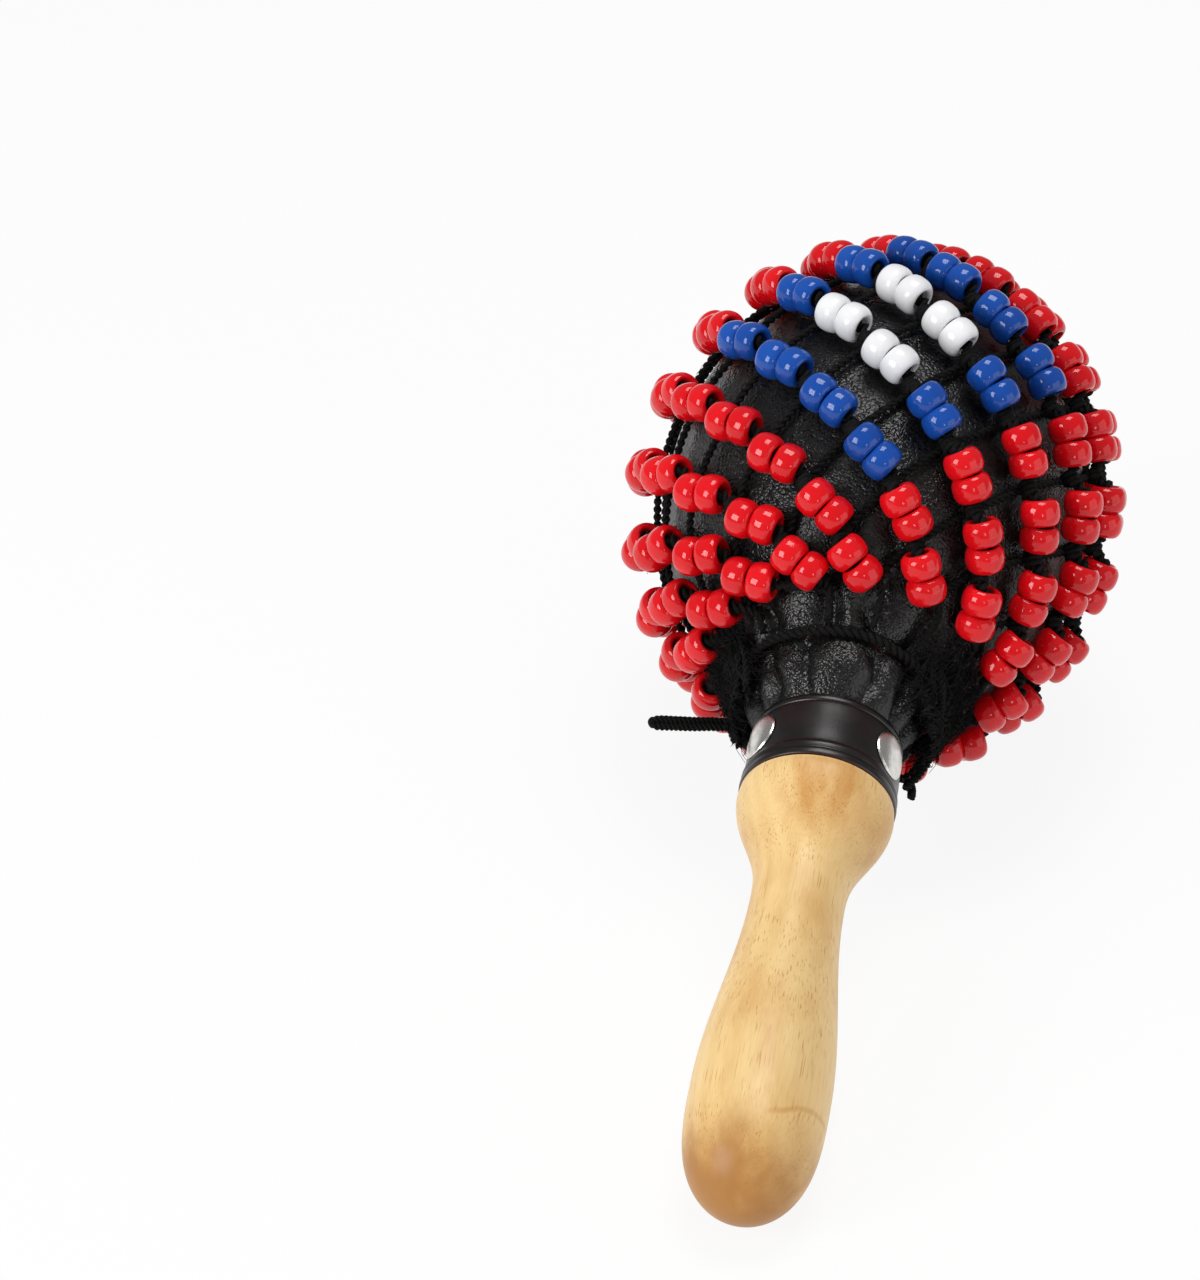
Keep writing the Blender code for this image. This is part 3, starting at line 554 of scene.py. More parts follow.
def hideOutline(arcSteps, neckSteps):
    # From the crown down: radius * cos, crown * sin of one angle for the egg, then a smooth neck.
    f = hideForm
    angle = np.linspace(math.pi / 2, math.radians(f["shoulderAngle"]), arcSteps + 1)
    egg = np.stack([f["radius"] * np.cos(angle), levels["equator"] + f["crown"] * np.sin(angle)], axis=1)
    neck = smoothRoute([egg[-2], egg[-1], (f["gatherRadius"], levels["gather"]), f["puff"],
                        (f["neckRadius"], levels["collarTop"])], neckSteps)
    return np.vstack([egg, neck[neckSteps + 1:]])


def outwards(outline):
    # the outline's own direction turned a quarter round, away from the axis
    ahead = unit(np.gradient(outline, axis=0))
    return np.stack([-ahead[:, 1], ahead[:, 0]], axis=1)


class NetSurface:
    # The hide's outline with distances measured through the bead centres, where the net lies.
    def __init__(self, beadLift, arcSteps, neckSteps):
        self.outline = hideOutline(arcSteps, neckSteps)
        self.normal = outwards(self.outline)
        self.reach = distances(self.outline + beadLift * self.normal)

    def reachAtRadius(self, radius):
        # distance from the crown at which the upper half is this wide
        upper = self.outline[:, 1] >= levels["equator"]
        return float(np.interp(radius, self.outline[upper, 0], self.reach[upper]))

    def reachAtHeight(self, height):
        # distance from the crown at this height
        return float(np.interp(-height, -self.outline[:, 1], self.reach))

    def section(self, reach, lift):
        # radius and height = outline point + lift * outward normal
        foot = [np.interp(reach, self.reach, self.outline[:, i]) for i in (0, 1)]
        lean = [np.interp(reach, self.reach, self.normal[:, i]) for i in (0, 1)]
        return foot[0] + lift * lean[0], foot[1] + lift * lean[1]

    def point(self, reach, angle, lift):
        # the section's point carried round the axis
        radius, height = self.section(reach, lift)
        return roundAxis(radius, height, angle)

    def up(self, reach, angle):
        # the way from the hide out to a point one millimetre off it
        return self.point(reach, angle, 1.0) - self.point(reach, angle, 0.0)


def inFold(radius, angle, folds, width, power):
    # 1 in the nearest fold, falling to its sides as exp(-(distance / width)^power)
    apart = (angle[..., None] - np.radians(folds) + math.pi) % fullTurn - math.pi
    return np.exp(-(radius * np.abs(apart).min(axis=-1) / width) ** power)


def hideRelief(radius, height, angle):
    # How far the hide stands off its plain outline: pleats that sink between the panels and fade away from
    # the gather, puffs between gather and collar, a groove under the draw cord, shallow dents.
    f = hideForm
    dice = np.random.default_rng(f["seed"])
    gather = levels["gather"]
    above = height > gather
    rise = np.maximum(height - gather, 0.0)
    bent = angle + sum(size * np.sin(up * height + waves * angle) for size, up, waves in f["waver"])
    width = f["pleatWidth"] * (1 + rise / f["pleatWidening"])
    sunk = inFold(radius, bent, f["pleats"], width, f["pleatPower"])
    traceShare, traceReach = f["pleatTrace"]
    fade = np.exp(-(rise / f["pleatReach"]) ** f["pleatPower"]) + traceShare * np.exp(-rise / traceReach)
    relief = -f["pleatDepth"] * fade * sunk * above
    sunk = inFold(radius, bent, f["valleys"], f["valleyWidth"], f["valleyPower"])
    share = np.clip((gather - height) / (gather - levels["collarTop"]), 0.0, 1.0)
    swell = np.sin(math.pi * share) ** f["puffPower"] * (height > levels["collarTop"])
    relief += swell * (f["puffRise"] - (f["puffRise"] + f["valleyDepth"]) * sunk)
    relief -= f["grooveDepth"] * np.exp(-((height - gather) / f["grooveWidth"]) ** 2)
    for _ in range(f["dents"]):
        waves = dice.integers(*f["dentWaves"])
        steepness = dice.uniform(*f["dentSteepness"])
        start = dice.uniform(0.0, fullTurn, 2)
        wave = np.sin(waves * angle + steepness * height + start[0])
        wave = wave * np.sin(f["dentChange"] * steepness * height + start[1])
        relief -= f["dent"] / f["dents"] * (1 + wave) * above
    return relief


def makeHideBag():
    # The bag's outside and inside in one closed skin: crown, shoulder, neck, mouth, then back up inside.
    f = hideForm
    outline = hideOutline(f["arcSteps"], f["neckSteps"])[1:]
    normal = outwards(outline)
    angle = onceRound(f["around"])
    relief = hideRelief(outline[:, None, 0], outline[:, None, 1], angle[None])
    outer = outline[:, None] + relief[..., None] * normal[:, None]
    inner = outline[:, None] + (relief - f["wall"])[..., None] * normal[:, None]
    bore = f["neckRadius"] - f["wall"]
    inner[..., 0] = np.maximum(inner[..., 0], f["pole"])
    inner[-f["neckRows"]:, :, 0] = np.maximum(inner[-f["neckRows"]:, :, 0], bore)
    mouth = np.array([(f["neckRadius"], f["mouth"]), (bore, f["mouth"])])
    mouth = np.broadcast_to(mouth[:, None], (2, f["around"], 2))
    skin = np.concatenate([outer, mouth, inner[::-f["innerStep"]]])[::-1]
    pile = Pile()
    pile.grid(roundAxis(skin[..., 0], skin[..., 1], angle[None]))
    pile.build("hideBag", [blackHide], "maraca", "black_hide", ["head"], edge=80.0)


makeHideBag()
print("hide bag gathered")

netForm = {
    "meshes": 14, "rows": 10, "crownRing": 19.5, "ringToFirst": 13.3, "lastToDraw": 15.36, "ringGap": 1.8,
    "skew": 3.4, "skewAngle": math.radians(-81.0), "sag": 4.8, "sagAngle": math.radians(-100.0),
    "sagPower": 8, "sagRows": (5.5, 7.5), "swing": 11.0, "swingChange": 8.0,
    "twist": math.radians(6.5), "twistRow": 7.0, "pleatLead": math.radians(6.0), "pleatRows": (9.05, 9.6),
    "motifAngle": math.radians(-8.5), "motifRow": 4, "motifs": 2,
    "beadLift": 5.1, "knotLift": 3.2, "lastKnotLift": 1.7, "crossLift": 1.2, "ringLift": 1.6,
    # a cross cord's wander aside, in meshes, and off the hide, each with its phase a row
    "crossWander": (0.25 / 14, 2.3), "crossBob": (0.12, 3.1), "crossSteps": 300,
    "outlineSteps": (180, 40), "seed": 23,
}
net = NetSurface(netForm["beadLift"], *netForm["outlineSteps"])
meshAngle = fullTurn / netForm["meshes"]
ringReach = net.reachAtRadius(netForm["crownRing"])
drawReach = net.reachAtHeight(levels["gather"])
lastRow = netForm["rows"] - 1


def rowReach(row, angle):
    # Distance from the crown: rows lie evenly between the first and the last, the ends meet the rings, and
    # the net sits askew by skew * cos(angle - skew angle) and sags by sag * cos(angle - sag angle)^power;
    # both fade out, the sag in the last rows and the skew at the rings.
    f = netForm
    first = ringReach + f["ringToFirst"]
    last = drawReach - f["lastToDraw"]
    pitch = (last - first) / lastRow
    ringEnd = ringReach + f["ringGap"]
    drawEnd = drawReach - f["ringGap"]
    marks = [-2.0, -1.0, -0.5, lastRow + 0.5, lastRow + 1.0, lastRow + 2.0]
    places = [ringEnd - pitch, ringEnd, first - pitch / 2, last + pitch / 2, drawEnd, drawEnd + pitch]
    free = np.interp(row, marks, [0.0, 0.0, 1.0, 1.0, 0.0, 0.0])
    skew = f["skew"] * np.cos(angle - f["skewAngle"])
    sag = f["sag"] * np.maximum(np.cos(angle - f["sagAngle"]), 0.0) ** f["sagPower"]
    sag = sag * np.interp(row, f["sagRows"], [1.0, 0.0])
    return np.interp(row, marks, places) + free * (skew + sag)


def onNet(row, angle, lift):
    # the net's point at a row, which may be a fraction, and an angle
    return net.point(rowReach(row, angle), angle, lift)


def slantAngle(number, row, lean=1):
    # A bead strand, lean 1, goes half a mesh round with each row. A cross cord, lean -1, starts half a mesh
    # on and goes as far the other way, so the two meet at every half row. The last rows are drawn towards
    # the top at the maraca's left, by twist a row * the part that faces left.
    f = netForm
    angle = f["motifAngle"] + (number + (1 - lean) / 4 + lean * (row - f["motifRow"]) / 2) * meshAngle
    drawn = f["twist"] * np.maximum(row - f["twistRow"], 0.0)
    return angle + drawn * np.maximum(-np.sin(angle), 0.0)


def gatheredAngle(number, row, lean=1):
    # The same, but below the last pair the cord slides into the pleat just beyond its last knot, by a smooth
    # step 3s^2 - 2s^3 over the rows.
    angle = slantAngle(number, row, lean)
    aim = slantAngle(number, lastRow + 0.5, lean) + netForm["pleatLead"]
    apart = (np.radians(hideForm["pleats"]) - aim + math.pi) % fullTurn - math.pi
    pleat = aim + apart[np.abs(apart).argmin()]
    share = np.interp(row, netForm["pleatRows"], [0.0, 1.0])
    share = share ** 2 * (3 - 2 * share)
    return angle + share * (pleat - angle)


beadForm = {
    # radius and place along the hole, once round the bead's wall, starting at its widest
    "wall": [(4.5, 0.0), (4.2, 1.85), (3.15, 2.92), (2.25, 2.3), (2.0, 0.0), (2.25, -2.3), (3.15, -2.92),
             (4.2, -1.85)],
    "pitch": 12.0, "pitchRows": (2.5, 6.5), "apart": 2.87, "mouth": 2.6, "sides": 8, "rounding": 2,
    # how far beads and pairs are out of line, and the smallest and the largest bead
    "fan": 4.6, "fanSpread": 1.6, "tilt": 2.2, "swing": 2.6, "slide": 0.3, "size": (0.985, 1.01),
}


def beadCage():
    # Corner points whose cubic B-spline goes through the wall's points: (before + 4 own + after) / 6.
    wall = np.array(beadForm["wall"])
    own = np.eye(len(wall))
    weights = (4 * own + np.roll(own, 1, axis=0) + np.roll(own, -1, axis=0)) / 6
    cage = np.linalg.solve(weights, wall)
    cage[:, 0] *= 6 / (4 + 2 * math.cos(fullTurn / beadForm["sides"]))
    return cage


def turnAbout(vectors, axes, angles):
    # Rodrigues' turn of unit vectors: v cos + (axis x v) sin + axis (axis . v)(1 - cos)
    cos, sin = np.cos(angles)[:, None], np.sin(angles)[:, None]
    along = (axes * vectors).sum(1, keepdims=True)
    return vectors * cos + np.cross(axes, vectors) * sin + axes * along * (1 - cos)


def beadColour(rows, strand):
    # White lozenge, blue border, red ground, counted along the two slants of the net: 0 red, 1 blue, 2 white.
    slant = (strand + 1) % (netForm["meshes"] // netForm["motifs"]) - 1
    other = slant + rows - netForm["motifRow"]
    white = (slant in (0, 1)) & (other >= 0) & (other <= 1)
    blue = (-1 <= slant <= 2) & (other >= -1) & (other <= 2)
    return np.where(white, 2, np.where(blue, 1, 0))


def beadFrames(strand, dice):
    # Middle, hole direction and outward vector of every bead, two to a pair. Each pair follows its cord, is
    # swung aside by swing - change * sin(angle), dips towards the neck by the pitch in the lower rows and
    # fans open outwards; single beads are a little out of line.
    f = beadForm
    rows = np.arange(netForm["rows"], dtype=float)
    angle = slantAngle(strand, rows)
    middle, after, before = (onNet(rows + step, slantAngle(strand, rows + step), netForm["beadLift"])
                             for step in (0.0, 0.5, -0.5))
    ahead = unit(after - before)
    up = net.up(rowReach(rows, angle), angle)
    up = squareTo(up, ahead)
    swing = netForm["swing"] - netForm["swingChange"] * np.sin(angle)
    swing += dice.uniform(-1, 1, len(rows)) * f["swing"]
    ahead = turnAbout(ahead, up, np.radians(swing))
    pitch = np.radians(f["pitch"]) * np.interp(rows, f["pitchRows"], [0.0, 1.0])
    across = np.cross(ahead, up)
    ahead, up = (turnAbout(part, across, -pitch) for part in (ahead, up))
    middle = middle + ahead * (dice.uniform(-1, 1, len(rows)) * f["slide"])[:, None]
    middle, ahead, up = (np.repeat(part, 2, axis=0) for part in (middle, ahead, up))
    side = np.tile([-1.0, 1.0], len(rows))
    fan = np.repeat(f["fan"] + dice.normal(0.0, f["fanSpread"], len(rows)), 2)
    hole = turnAbout(ahead, np.cross(ahead, up), np.radians(-side * fan))
    hole = turnAbout(hole, up, np.radians(dice.normal(0.0, f["tilt"], len(side))))
    out = squareTo(up, hole)
    return middle + side[:, None] * f["apart"] * ahead, hole, out


def addBeads(pile, strand, frames, dice):
    # bead point = bead middle + place * hole direction + radius * (cos b * out + sin b * across)
    middle, hole, out = frames
    cage = beadCage()
    count = len(middle)
    across = np.cross(hole, out)
    size = dice.uniform(*beadForm["size"], count)
    spin = onceRound(beadForm["sides"]) + dice.uniform(0.0, fullTurn, (count, 1))
    spokes = swung(spin, out[:, None], across[:, None])
    points = middle[:, None, None] + size[:, None, None, None] * (
        cage[None, :, None, 1:] * hole[:, None, None] + cage[None, :, None, :1] * spokes[:, None])
    colours = np.repeat(beadColour(np.arange(netForm["rows"]), strand), 2)
    pile.grid(points, colours, dice.uniform(0.0, 1.0, count), closeRows=True)


cordForm = {
    "crossRadius": 0.9, "lay": 3.6, "plies": 2, "fat": 1.25, "sides": 6, "perSpan": 7,
    # thread radius at a knot, in a bead's mouth, inside the two beads, and in the far mouth; it is fattened
    # in the beads to fill their holes, so the black thread there is partly the real cord and partly painted
    # shade inside the holes
    "thread": [1.2, 1.7, 1.85, 1.85, 1.7],
    "knotRadius": 1.45, "knotCord": 0.8, "knotLength": 3.0, "knotTurns": 2.3, "knotSteps": 22,
    "fibreLength": (1.0, 3.0), "fibreRadius": 0.12, "fibreTip": 0.4, "fibrePoints": 4, "fibreSides": 3,
    "fibreBend": 0.7, "fibreClimb": (-0.35, 0.75), "fibreDroop": 0.4, "fibreFloor": 0.95, "leastTurn": 5.0,
    # how many fibres grow at each knot and along each cross cord, how far off the hide, and on which rows
    "fibresAtKnot": 64, "knotFibreLift": (1.5, 4.6),
    "fibresAlong": 190, "alongFibreLift": 1.6, "alongRows": (-0.8, lastRow + 0.9),
}


def threadRoute(strand, frames):
    # Ring, then knot, mouth, two beads, mouth, knot and so on down to the draw cord; the fourth number of
    # each point is the thread's radius there.
    middle, hole, _ = frames
    knotRows = np.arange(netForm["rows"] + 1) - 0.5
    lift = np.where(knotRows > lastRow, netForm["lastKnotLift"], netForm["knotLift"])
    knots = onNet(knotRows, gatheredAngle(strand, knotRows), lift)
    mouth = beadForm["mouth"]
    runs = np.stack([knots[:-1], middle[::2] - mouth * hole[::2], middle[::2], middle[1::2],
                     middle[1::2] + mouth * hole[1::2]], axis=1)
    radius = np.broadcast_to(np.array(cordForm["thread"])[None, :, None], (*runs.shape[:2], 1))
    runs = np.concatenate([runs, radius], axis=-1).reshape(-1, 4)
    ends = np.array([-1.0, lastRow + 1.0])
    top, bottom = onNet(ends, gatheredAngle(strand, ends), netForm["ringLift"])
    thin = cordForm["crossRadius"]
    control = np.vstack([[*top, thin], runs, [*knots[-1], thin], [*bottom, thin]])
    route = smoothRoute(control, cordForm["perSpan"])
    return route[:, :3], route[:, 3], knots


def addKnots(pile, knots, thread):
    # Each knot is the cord wound round itself: a helix of a few turns along the thread.
    f = cordForm
    place = (1 + len(f["thread"]) * np.arange(len(knots))) * f["perSpan"]
    ahead = unit(thread[place + 2] - thread[place - 2])
    out = squareTo(unit(knots - headCentre), ahead)
    across = np.cross(ahead, out)
    share = np.linspace(0.0, 1.0, f["knotSteps"])
    turn = (share * f["knotTurns"] * fullTurn)[None] + np.arange(len(knots))[:, None]
    radial = swung(turn, out[:, None], across[:, None])
    centre = knots[:, None] + ((share - 0.5) * f["knotLength"])[None, :, None] * ahead[:, None]
    pile.grid(tubeRings(centre + f["knotRadius"] * radial, radial, f["knotCord"], f["sides"]))


def addFibres(pile, reach, angle, lift, dice, longer=1.0, heading=None):
    # Loose fibres: each leaves its root at the given heading from the way to the neck, or at a random one,
    # bends aside with the square of the distance and never dips below the fibre floor.
    f = cordForm
    count = len(reach)
    t = np.linspace(0.0, 1.0, f["fibrePoints"])[None]
    length = (dice.uniform(*f["fibreLength"], count) * longer)[:, None]
    heading = (dice.uniform(0.0, fullTurn, count) if heading is None else heading)[:, None]
    bend = dice.normal(0.0, f["fibreBend"], count)[:, None] * t ** 2
    climb = dice.uniform(*f["fibreClimb"], count)[:, None] * t - f["fibreDroop"] * t ** 2
    down = length * (t * np.cos(heading) - bend * np.sin(heading))
    aside = length * (t * np.sin(heading) + bend * np.cos(heading))
    lift = np.maximum(lift[:, None] + length * climb, f["fibreFloor"])
    reach = reach[:, None] + down
    radius = net.section(reach, lift)[0]
    points = net.point(reach, angle[:, None] + aside / np.maximum(radius, f["leastTurn"]), lift)
    taper = f["fibreRadius"] * np.linspace(1.0, f["fibreTip"], f["fibrePoints"])
    pile.grid(tubeRings(points, points - headCentre, taper, f["fibreSides"]))


def addTwine(pile, path, radius, fat=1.08):
    # a two-ply cord along a path over the hide
    f = cordForm
    pile.grid(ropeRings(path, path - headCentre, radius, f["lay"], f["plies"], f["sides"], fat=fat))


def buildYarn(pile, name, node):
    # a piece of black yarn that belongs to the net
    return pile.build(name, [blackYarn], "net", "black_cord", [node], edge=80.0)


def makeNet():
    # For each mesh round the net: the beads of one strand as one piece, and its thread, knots, cross cord
    # and fibres as another.
    dice = np.random.default_rng(netForm["seed"])
    f = cordForm
    wander, wanderPhase = netForm["crossWander"]
    bob, bobPhase = netForm["crossBob"]
    for number in range(netForm["meshes"]):
        frames = beadFrames(number, dice)
        beads = Pile()
        addBeads(beads, number, frames, dice)
        beads.build(f"beads_{number + 1:02d}", beadPlastics, "net", "beads",
                    [f"bead_strand_{number + 1:02d}"], rounding=beadForm["rounding"])

        cords = Pile()
        thread, threadRadius, knots = threadRoute(number, frames)
        addTwine(cords, thread, threadRadius)
        addKnots(cords, knots[:-1], thread)
        row = np.linspace(-1.0, lastRow + 1.0, netForm["crossSteps"])
        angle = gatheredAngle(number, row, -1) + wander * np.sin(row * wanderPhase + number) * meshAngle
        cross = onNet(row, angle, netForm["crossLift"] + bob * np.sin(row * bobPhase))
        addTwine(cords, cross, f["crossRadius"], f["fat"])
        row = np.repeat(np.arange(netForm["rows"]) - 0.5, f["fibresAtKnot"])
        angle = gatheredAngle(number, row)
        addFibres(cords, rowReach(row, angle), angle, dice.uniform(*f["knotFibreLift"], len(row)), dice)
        row = dice.uniform(*f["alongRows"], f["fibresAlong"])
        angle = gatheredAngle(number, row, -1)
        addFibres(cords, rowReach(row, angle), angle, np.full(len(row), f["alongFibreLift"]), dice)
        buildYarn(cords, f"netCords_{number + 1:02d}", f"cross_cord_{number + 1:02d}")


makeNet()
print("net of beads threaded and knotted")

ringForm = {"radius": 1.2, "lay": 6.5, "plies": 2, "sides": 7, "steps": 260}
drawForm = {"radius": 1.1, "lay": 3.6, "fat": 1.3, "sunk": 0.55, "wave": 0.25, "waves": 6}
bowForm = {
    "angle": math.radians(-126.0), "length": 8.0, "radius": 2.9, "drop": 1.4, "proud": 0.3, "cord": 0.85,
    "fat": 1.05, "turns": 4.6, "swell": [0.55, 0.85, 1.0, 1.0, 0.85, 0.55], "steps": 120, "sides": 8,
    # how far the draw cord's ends go into the knot, and the core under its windings
    "overlap": 0.6, "coreReach": 0.92, "coreSteps": 12, "coreSides": 10,
}
tuftForm = {
    "count": 44, "radius": 0.75, "lay": 3.6, "plies": 2, "strandSides": 5, "perSpan": 9, "seed": 41,
    # degrees round the neck between which the tufts hang, at the left and at the right
    "sides": [(-128.0, -55.0), (52.0, 128.0)], "length": (7.0, 13.0), "drift": 4.0, "tipRise": 1.2,
    # a tuft's points: past the draw cord, a share of its length, aside, shares of its two drifts, and lift
    "route": [(-4.5, 0.0, 0.0, 0.0, 0.0, 2.2), (-1.5, 0.0, 0.6, 0.0, 0.0, 3.6),
              (1.0, 0.0, 1.0, 0.0, 0.0, 4.1), (1.0, 0.35, 1.0, 0.3, 0.0, 3.6),
              (1.0, 0.65, 1.0, 0.6, 0.2, 3.3)],
    # loose fibres: roots past the draw cord, and the swing of their locks with its phase round and down
    "fibres": 2600, "fibreRoots": (-11.0, 4.5), "fibreLift": (2.4, 4.6), "fibreLonger": 2.3,
    "fibreSpread": 0.25, "locks": [(0.7, 13.0, 0.5), (0.5, 29.0, -0.8)],
}
drawRadius, drawHeight = net.section(drawReach, netForm["ringLift"])


def makeCrownRing():
    # a two-ply cord round the crown; its path closes on itself, so one point is repeated at each end while
    # its directions are worked out
    f = ringForm
    angle = onceRound(f["steps"])
    points = net.point(np.full(len(angle), ringReach), angle, netForm["ringLift"])
    looped = np.vstack([points[-1:], points, points[:1]])
    rings = ropeRings(looped, looped - headCentre, f["radius"], f["lay"], f["plies"], f["sides"], True)
    pile = Pile()
    pile.grid(rings[:, 1:-1], closeRows=True)
    buildYarn(pile, "crownRing", "crown_ring")


def addTufts(pile):
    # Tied-off yarn ends, each a short cord over the draw cord and down, then loose fibres that lie in locks:
    # their heading swings with the place round the neck and down it.
    f = tuftForm
    dice = np.random.default_rng(f["seed"])
    for number in range(f["count"]):
        start = math.radians(dice.uniform(*f["sides"][number % 2]))
        length = dice.uniform(*f["length"])
        drift = dice.normal(0.0, f["drift"], 2)
        past, hang, aside, first, second, lift = np.array(f["route"]).T
        reach = drawReach + (past + length * hang)
        aside = aside + drift[0] * first + drift[1] * second
        lift[-1] += dice.uniform(0.0, f["tipRise"])
        route = smoothRoute(net.point(reach, start + aside / drawRadius, lift), f["perSpan"])
        pile.grid(ropeRings(route, route - headCentre, f["radius"], f["lay"], f["plies"], f["strandSides"]))
    low, high = np.radians(np.array(f["sides"])[dice.integers(0, 2, f["fibres"])].T)
    angle = dice.uniform(low, high)
    reach = drawReach + dice.uniform(*f["fibreRoots"], len(angle))
    heading = sum(size * np.sin(waves * angle + down * reach) for size, waves, down in f["locks"])
    heading = heading + dice.normal(0.0, f["fibreSpread"], len(angle))
    addFibres(pile, reach, angle, dice.uniform(*f["fibreLift"], len(angle)), dice, f["fibreLonger"], heading)


def makeDrawCord():
    # A two-ply cord round the neck from one side of its knot to the other, with tufts of yarn.
    f = drawForm
    gap = (bowForm["length"] / 2 - bowForm["overlap"]) / drawRadius
    angle = np.linspace(bowForm["angle"] + gap, bowForm["angle"] + fullTurn - gap, ringForm["steps"])
    points = roundAxis(drawRadius - f["sunk"], drawHeight + f["wave"] * np.sin(f["waves"] * angle), angle)
    pile = Pile()
    pile.grid(ropeRings(points, points - headCentre, f["radius"], f["lay"], ringForm["plies"],
                        ringForm["sides"], fat=f["fat"]))
    addTufts(pile)
    buildYarn(pile, "drawCord", "draw_cord")


def makeBowKnot():
    # The draw cord's ends wound round each other: a helix whose radius follows the swell.
    f = bowForm
    out = swung(f["angle"], topDir, rightDir)
    along = swung(f["angle"], rightDir, -topDir)
    lift = f["radius"] - ringForm["radius"] + f["proud"]
    centre = roundAxis(drawRadius + lift, drawHeight - f["drop"], f["angle"])
    marks = np.linspace(-1.0, 1.0, len(f["swell"]))
    share = np.linspace(-1.0, 1.0, f["steps"])
    turn = share * f["turns"] / 2 * fullTurn
    swell = np.interp(share, marks, f["swell"]) * f["radius"] - f["cord"]
    radial = swung(turn, out, axisDir)
    path = centre + (share * f["length"] / 2)[:, None] * along + swell[:, None] * radial
    pile = Pile()
    pile.grid(tubeRings(path, radial, f["cord"] * f["fat"], f["sides"]))
    share = np.linspace(-1.0, 1.0, f["coreSteps"])
    core = centre + (f["coreReach"] * share)[:, None] * along * f["length"] / 2
    coreRadius = np.interp(share, marks, f["swell"]) * (f["radius"] - f["cord"])
    pile.grid(tubeRings(core, np.broadcast_to(out, core.shape), coreRadius, f["coreSides"]))
    buildYarn(pile, "bowKnot", "bow_knot")
    return centre, out


laceForm = {
    # half of the loop as (out, across, over) from the knot: the legs lie side by side at the bight and one
    # over the other at the knot; both legs arch up from the knot by the hump, as (out, across)
    "loop": [(0.0, 0.5, 0.75), (2.0, 0.55, 0.72), (5.0, 0.6, 0.62), (10.0, 0.68, 0.3),
             (14.5, 0.74, 0.0), (18.4, 0.72, 0.0)],
    "bight": 19.9, "hump": [(0.0, 0.4), (2.0, 3.1), (5.0, 3.0), (10.0, 1.9), (20.0, 0.0)],
    "loopOut": (-0.944, -0.305, -0.107), "loopAcross": (0.126, -0.652, 0.748),
    # a tail's points as (degrees round, out, towards the handle)
    "tails": [[(62.0, 2.5, 0.0), (68.0, 2.6, 2.4), (78.0, 1.2, 3.9), (92.0, 0.6, 4.4), (105.0, 0.8, 4.8),
               (115.0, 0.8, 6.4), (121.0, 0.0, 9.8), (125.0, -1.9, 13.7)],
              [(187.0, 2.3, -0.6), (178.0, 2.5, 0.0), (171.0, 2.6, 2.4), (161.0, 1.2, 3.9), (147.0, 0.6, 4.8),
               (137.0, 1.0, 6.4), (131.0, 1.2, 10.0), (127.0, 0.6, 14.2)]],
    "diameter": 1.8, "lay": 3.2, "plies": 3, "fat": 1.35, "sides": 7, "perSpan": 12,
}


def ownDirection(vector):
    # From the maraca's own x, y, z: x right, y down, z along the axis.
    return vector[0] * rightDir - vector[1] * topDir + vector[2] * axisDir


def makeLace(name, route, node, farEnd):
    # a three-ply cord along a smooth route; its plies start at one side in the loop and away from the head
    # in a tail
    f = laceForm
    path = smoothRoute(route, f["perSpan"])
    ups = path - headCentre
    if farEnd == "object":
        ups = np.broadcast_to(np.cross(path[-1] - path[0], axisDir), path.shape)
    pile = Pile()
    pile.grid(ropeRings(path, ups, f["diameter"] / 2, f["lay"], f["plies"], f["sides"], fat=f["fat"]))
    piece = buildYarn(pile, name, node)


def makeLoop(bowCentre, bowOut):
    # the half loop, its bight, and the half again with across and over turned round
    f = laceForm
    start = bowCentre + bowOut * (bowForm["radius"] + f["diameter"] / 2)
    out, across = (ownDirection(f[key]) for key in ("loopOut", "loopAcross"))
    half = np.array(f["loop"])
    loop = np.vstack([half, [(f["bight"], 0.0, 0.0)], half[::-1] * (1, -1, -1)])
    loop[:, 1] += np.interp(loop[:, 0], *np.array(f["hump"]).T)
    loop = start + loop @ np.array([out, across, np.cross(out, across)])
    makeLace("laceLoop", loop, "lace_loop", "object")


makeCrownRing()
makeDrawCord()
makeLoop(*makeBowKnot())
for number, tail in enumerate(laceForm["tails"], start=1):
    turn, out, back = np.array(tail).T
    makeLace(f"cordTail_{number}", roundAxis(drawRadius + out, drawHeight - back, np.radians(turn)),
             f"cord_tail_{number}", "bare")
for name, node in frame["nodes"].items():
    if name.startswith("shot_"):
        node.material_slots[0].material = dullShot
print("cords tied, shot in place")

photo = {"lens": 108.2, "sensor": 36.0, "clip": 0.01, "distance": 900.0, "headRight": 64.1, "headUp": 30.9,
         "azimuth": 10.90, "elevation": 33.18}
studio = {
    # name: (place in metres from the head, size in metres, watts)
    "lamps": {"leftBox": ((-0.67, -0.77, 0.46), 0.52, 6.7),
              "topBox": ((0.05, 0.14, 1.05), 0.52, 5.6),
              "spark": ((0.35, -1.05, 0.35), 0.14, 0.45),
              "rightFill": ((0.95, -0.45, 0.2), 0.9, 2.8)},
    "white": (1.0, 1.0, 1.0, 1.0), "skyLevel": 0.26,
    "paper": ((0.90, 0.90, 0.90, 1.0), (0.92, 0.92, 0.92, 1.0)), "floorGlow": 0.9, "floorReach": 60.0,
}


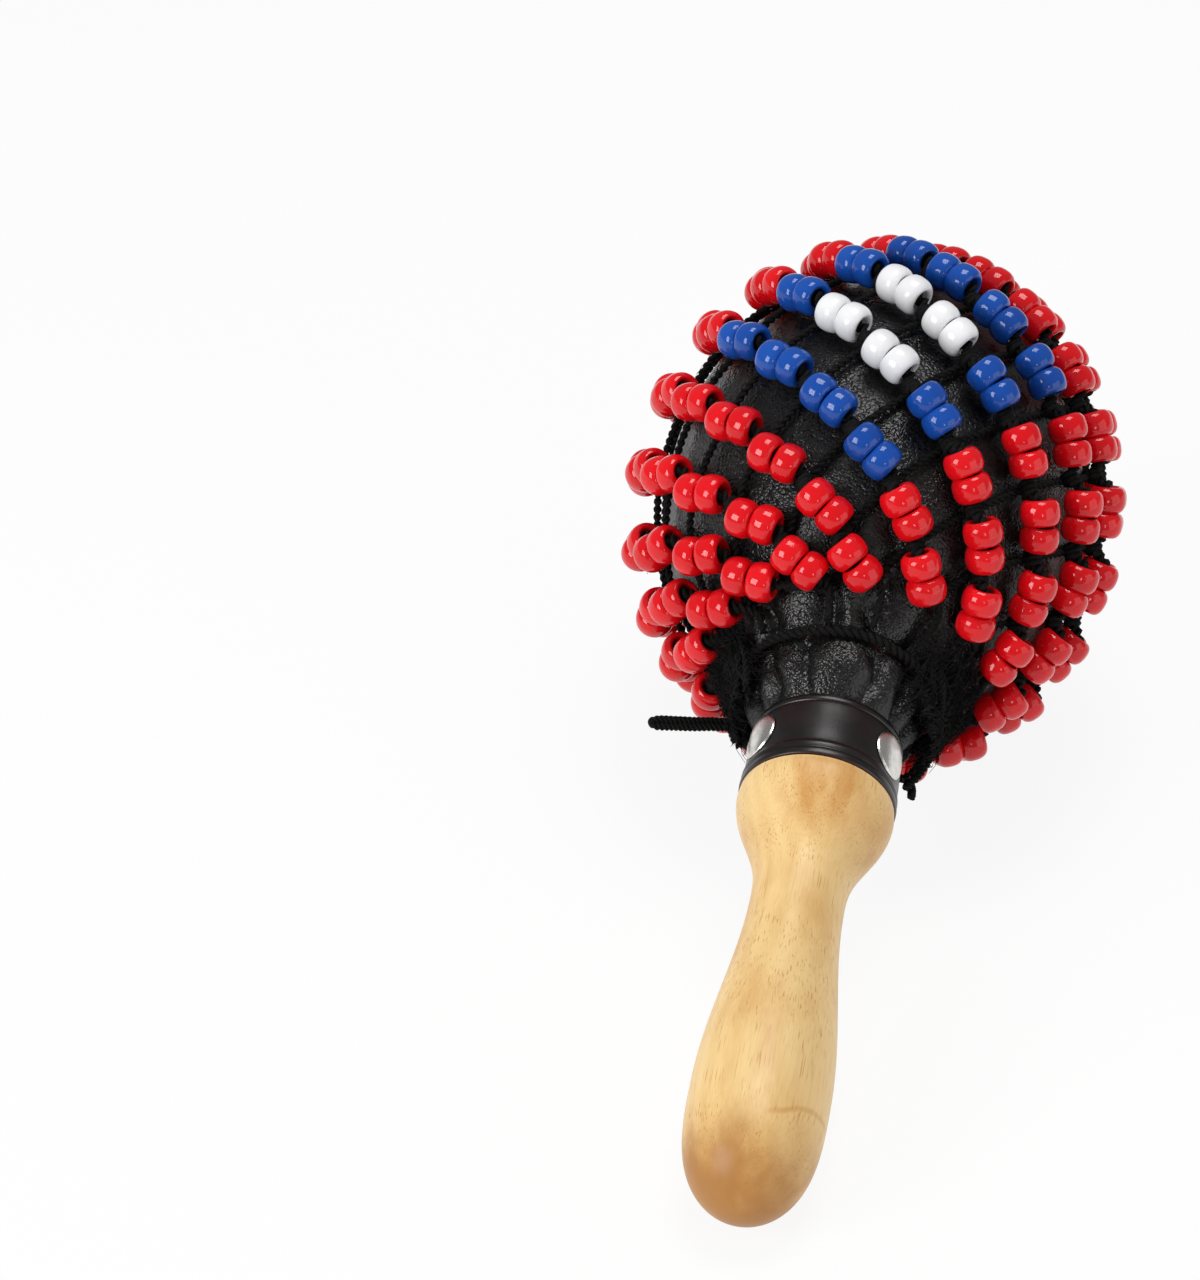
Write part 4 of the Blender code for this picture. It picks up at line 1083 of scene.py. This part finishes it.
def makeCamera():
    # Behind the head by the distance, then aside so that the head stands right of and above the middle.
    a, e = math.radians(photo["azimuth"]), math.radians(photo["elevation"])
    back = Vector((math.sin(a) * math.cos(e), -math.cos(a) * math.cos(e), math.sin(e)))
    right = Vector((math.cos(a), math.sin(a), 0.0))
    up = back.cross(right)
    data = bpy.data.cameras.new("photoCamera")
    data.lens = photo["lens"]
    data.sensor_width = photo["sensor"]
    data.clip_start = photo["clip"]
    camera = placed("photoCamera", data)
    aside = photo["headRight"] * right + photo["headUp"] * up
    camera.matrix_world = Matrix((right, up, back)).transposed().to_4x4()
    camera.location = (Vector(headCentre) - aside + photo["distance"] * back) * mm
    bpy.context.scene.camera = camera


def makeLamps():
    # square lamps that face the head, and an even sky
    for name, (offset, size, watts) in studio["lamps"].items():
        data = bpy.data.lights.new(name, "AREA")
        data.size = size
        data.energy = watts
        lamp = placed(name, data)
        lamp.location = Vector(headCentre) * mm + Vector(offset)
        lamp.rotation_euler = Vector(offset).to_track_quat("Z", "Y").to_euler()
    world = bpy.data.worlds.new("studio")
    bpy.context.scene.world = world
    world.use_nodes = True
    background = world.node_tree.nodes["Background"]
    background.inputs["Color"].default_value = studio["white"]
    background.inputs["Strength"].default_value = studio["skyLevel"]


def makeFloor():
    # White paper: a share of plain white for rays from the camera, from gloss and through glass, so that it
    # looks white and still shows the shadow; it lights the object as plain paper.
    mesh = bpy.data.meshes.new("studioFloor")
    reach = studio["floorReach"]
    corners = [(-reach, -reach, 0), (reach, -reach, 0), (reach, reach, 0), (-reach, reach, 0)]
    mesh.from_pydata(corners, [], [(0, 1, 2, 3)])
    floor = placed("studioFloor", mesh)
    made, wire = startMaterial("paperFloor", Roughness=0.9)
    paper = wire.node("ShaderNodeTexCoord", output=3).noise(4.0)
    finishMaterial(made, Base_Color=paper.blend(*studio["paper"]))
    rays = wire.node("ShaderNodeLightPath")
    camera, glossy, through = (rays.beside(f"Is {kind} Ray") for kind in ("Camera", "Glossy", "Transmission"))
    seen = wire.maths("MINIMUM", camera + glossy + through, 1.0) * studio["floorGlow"]
    glow = wire.node("ShaderNodeEmission", None, {"Color": studio["white"], "Strength": 1.0})
    paperShader = Wire(wire.tree, made.node_tree.nodes["Principled BSDF"].outputs[0])
    mixed = wire.node("ShaderNodeMixShader", None, {0: seen, 1: paperShader, 2: glow})
    made.node_tree.links.new(mixed.socket, made.node_tree.nodes["Material Output"].inputs["Surface"])
    mesh.materials.append(made)


makeCamera()
makeLamps()
makeFloor()
bpy.context.scene.view_settings.view_transform = "Standard"
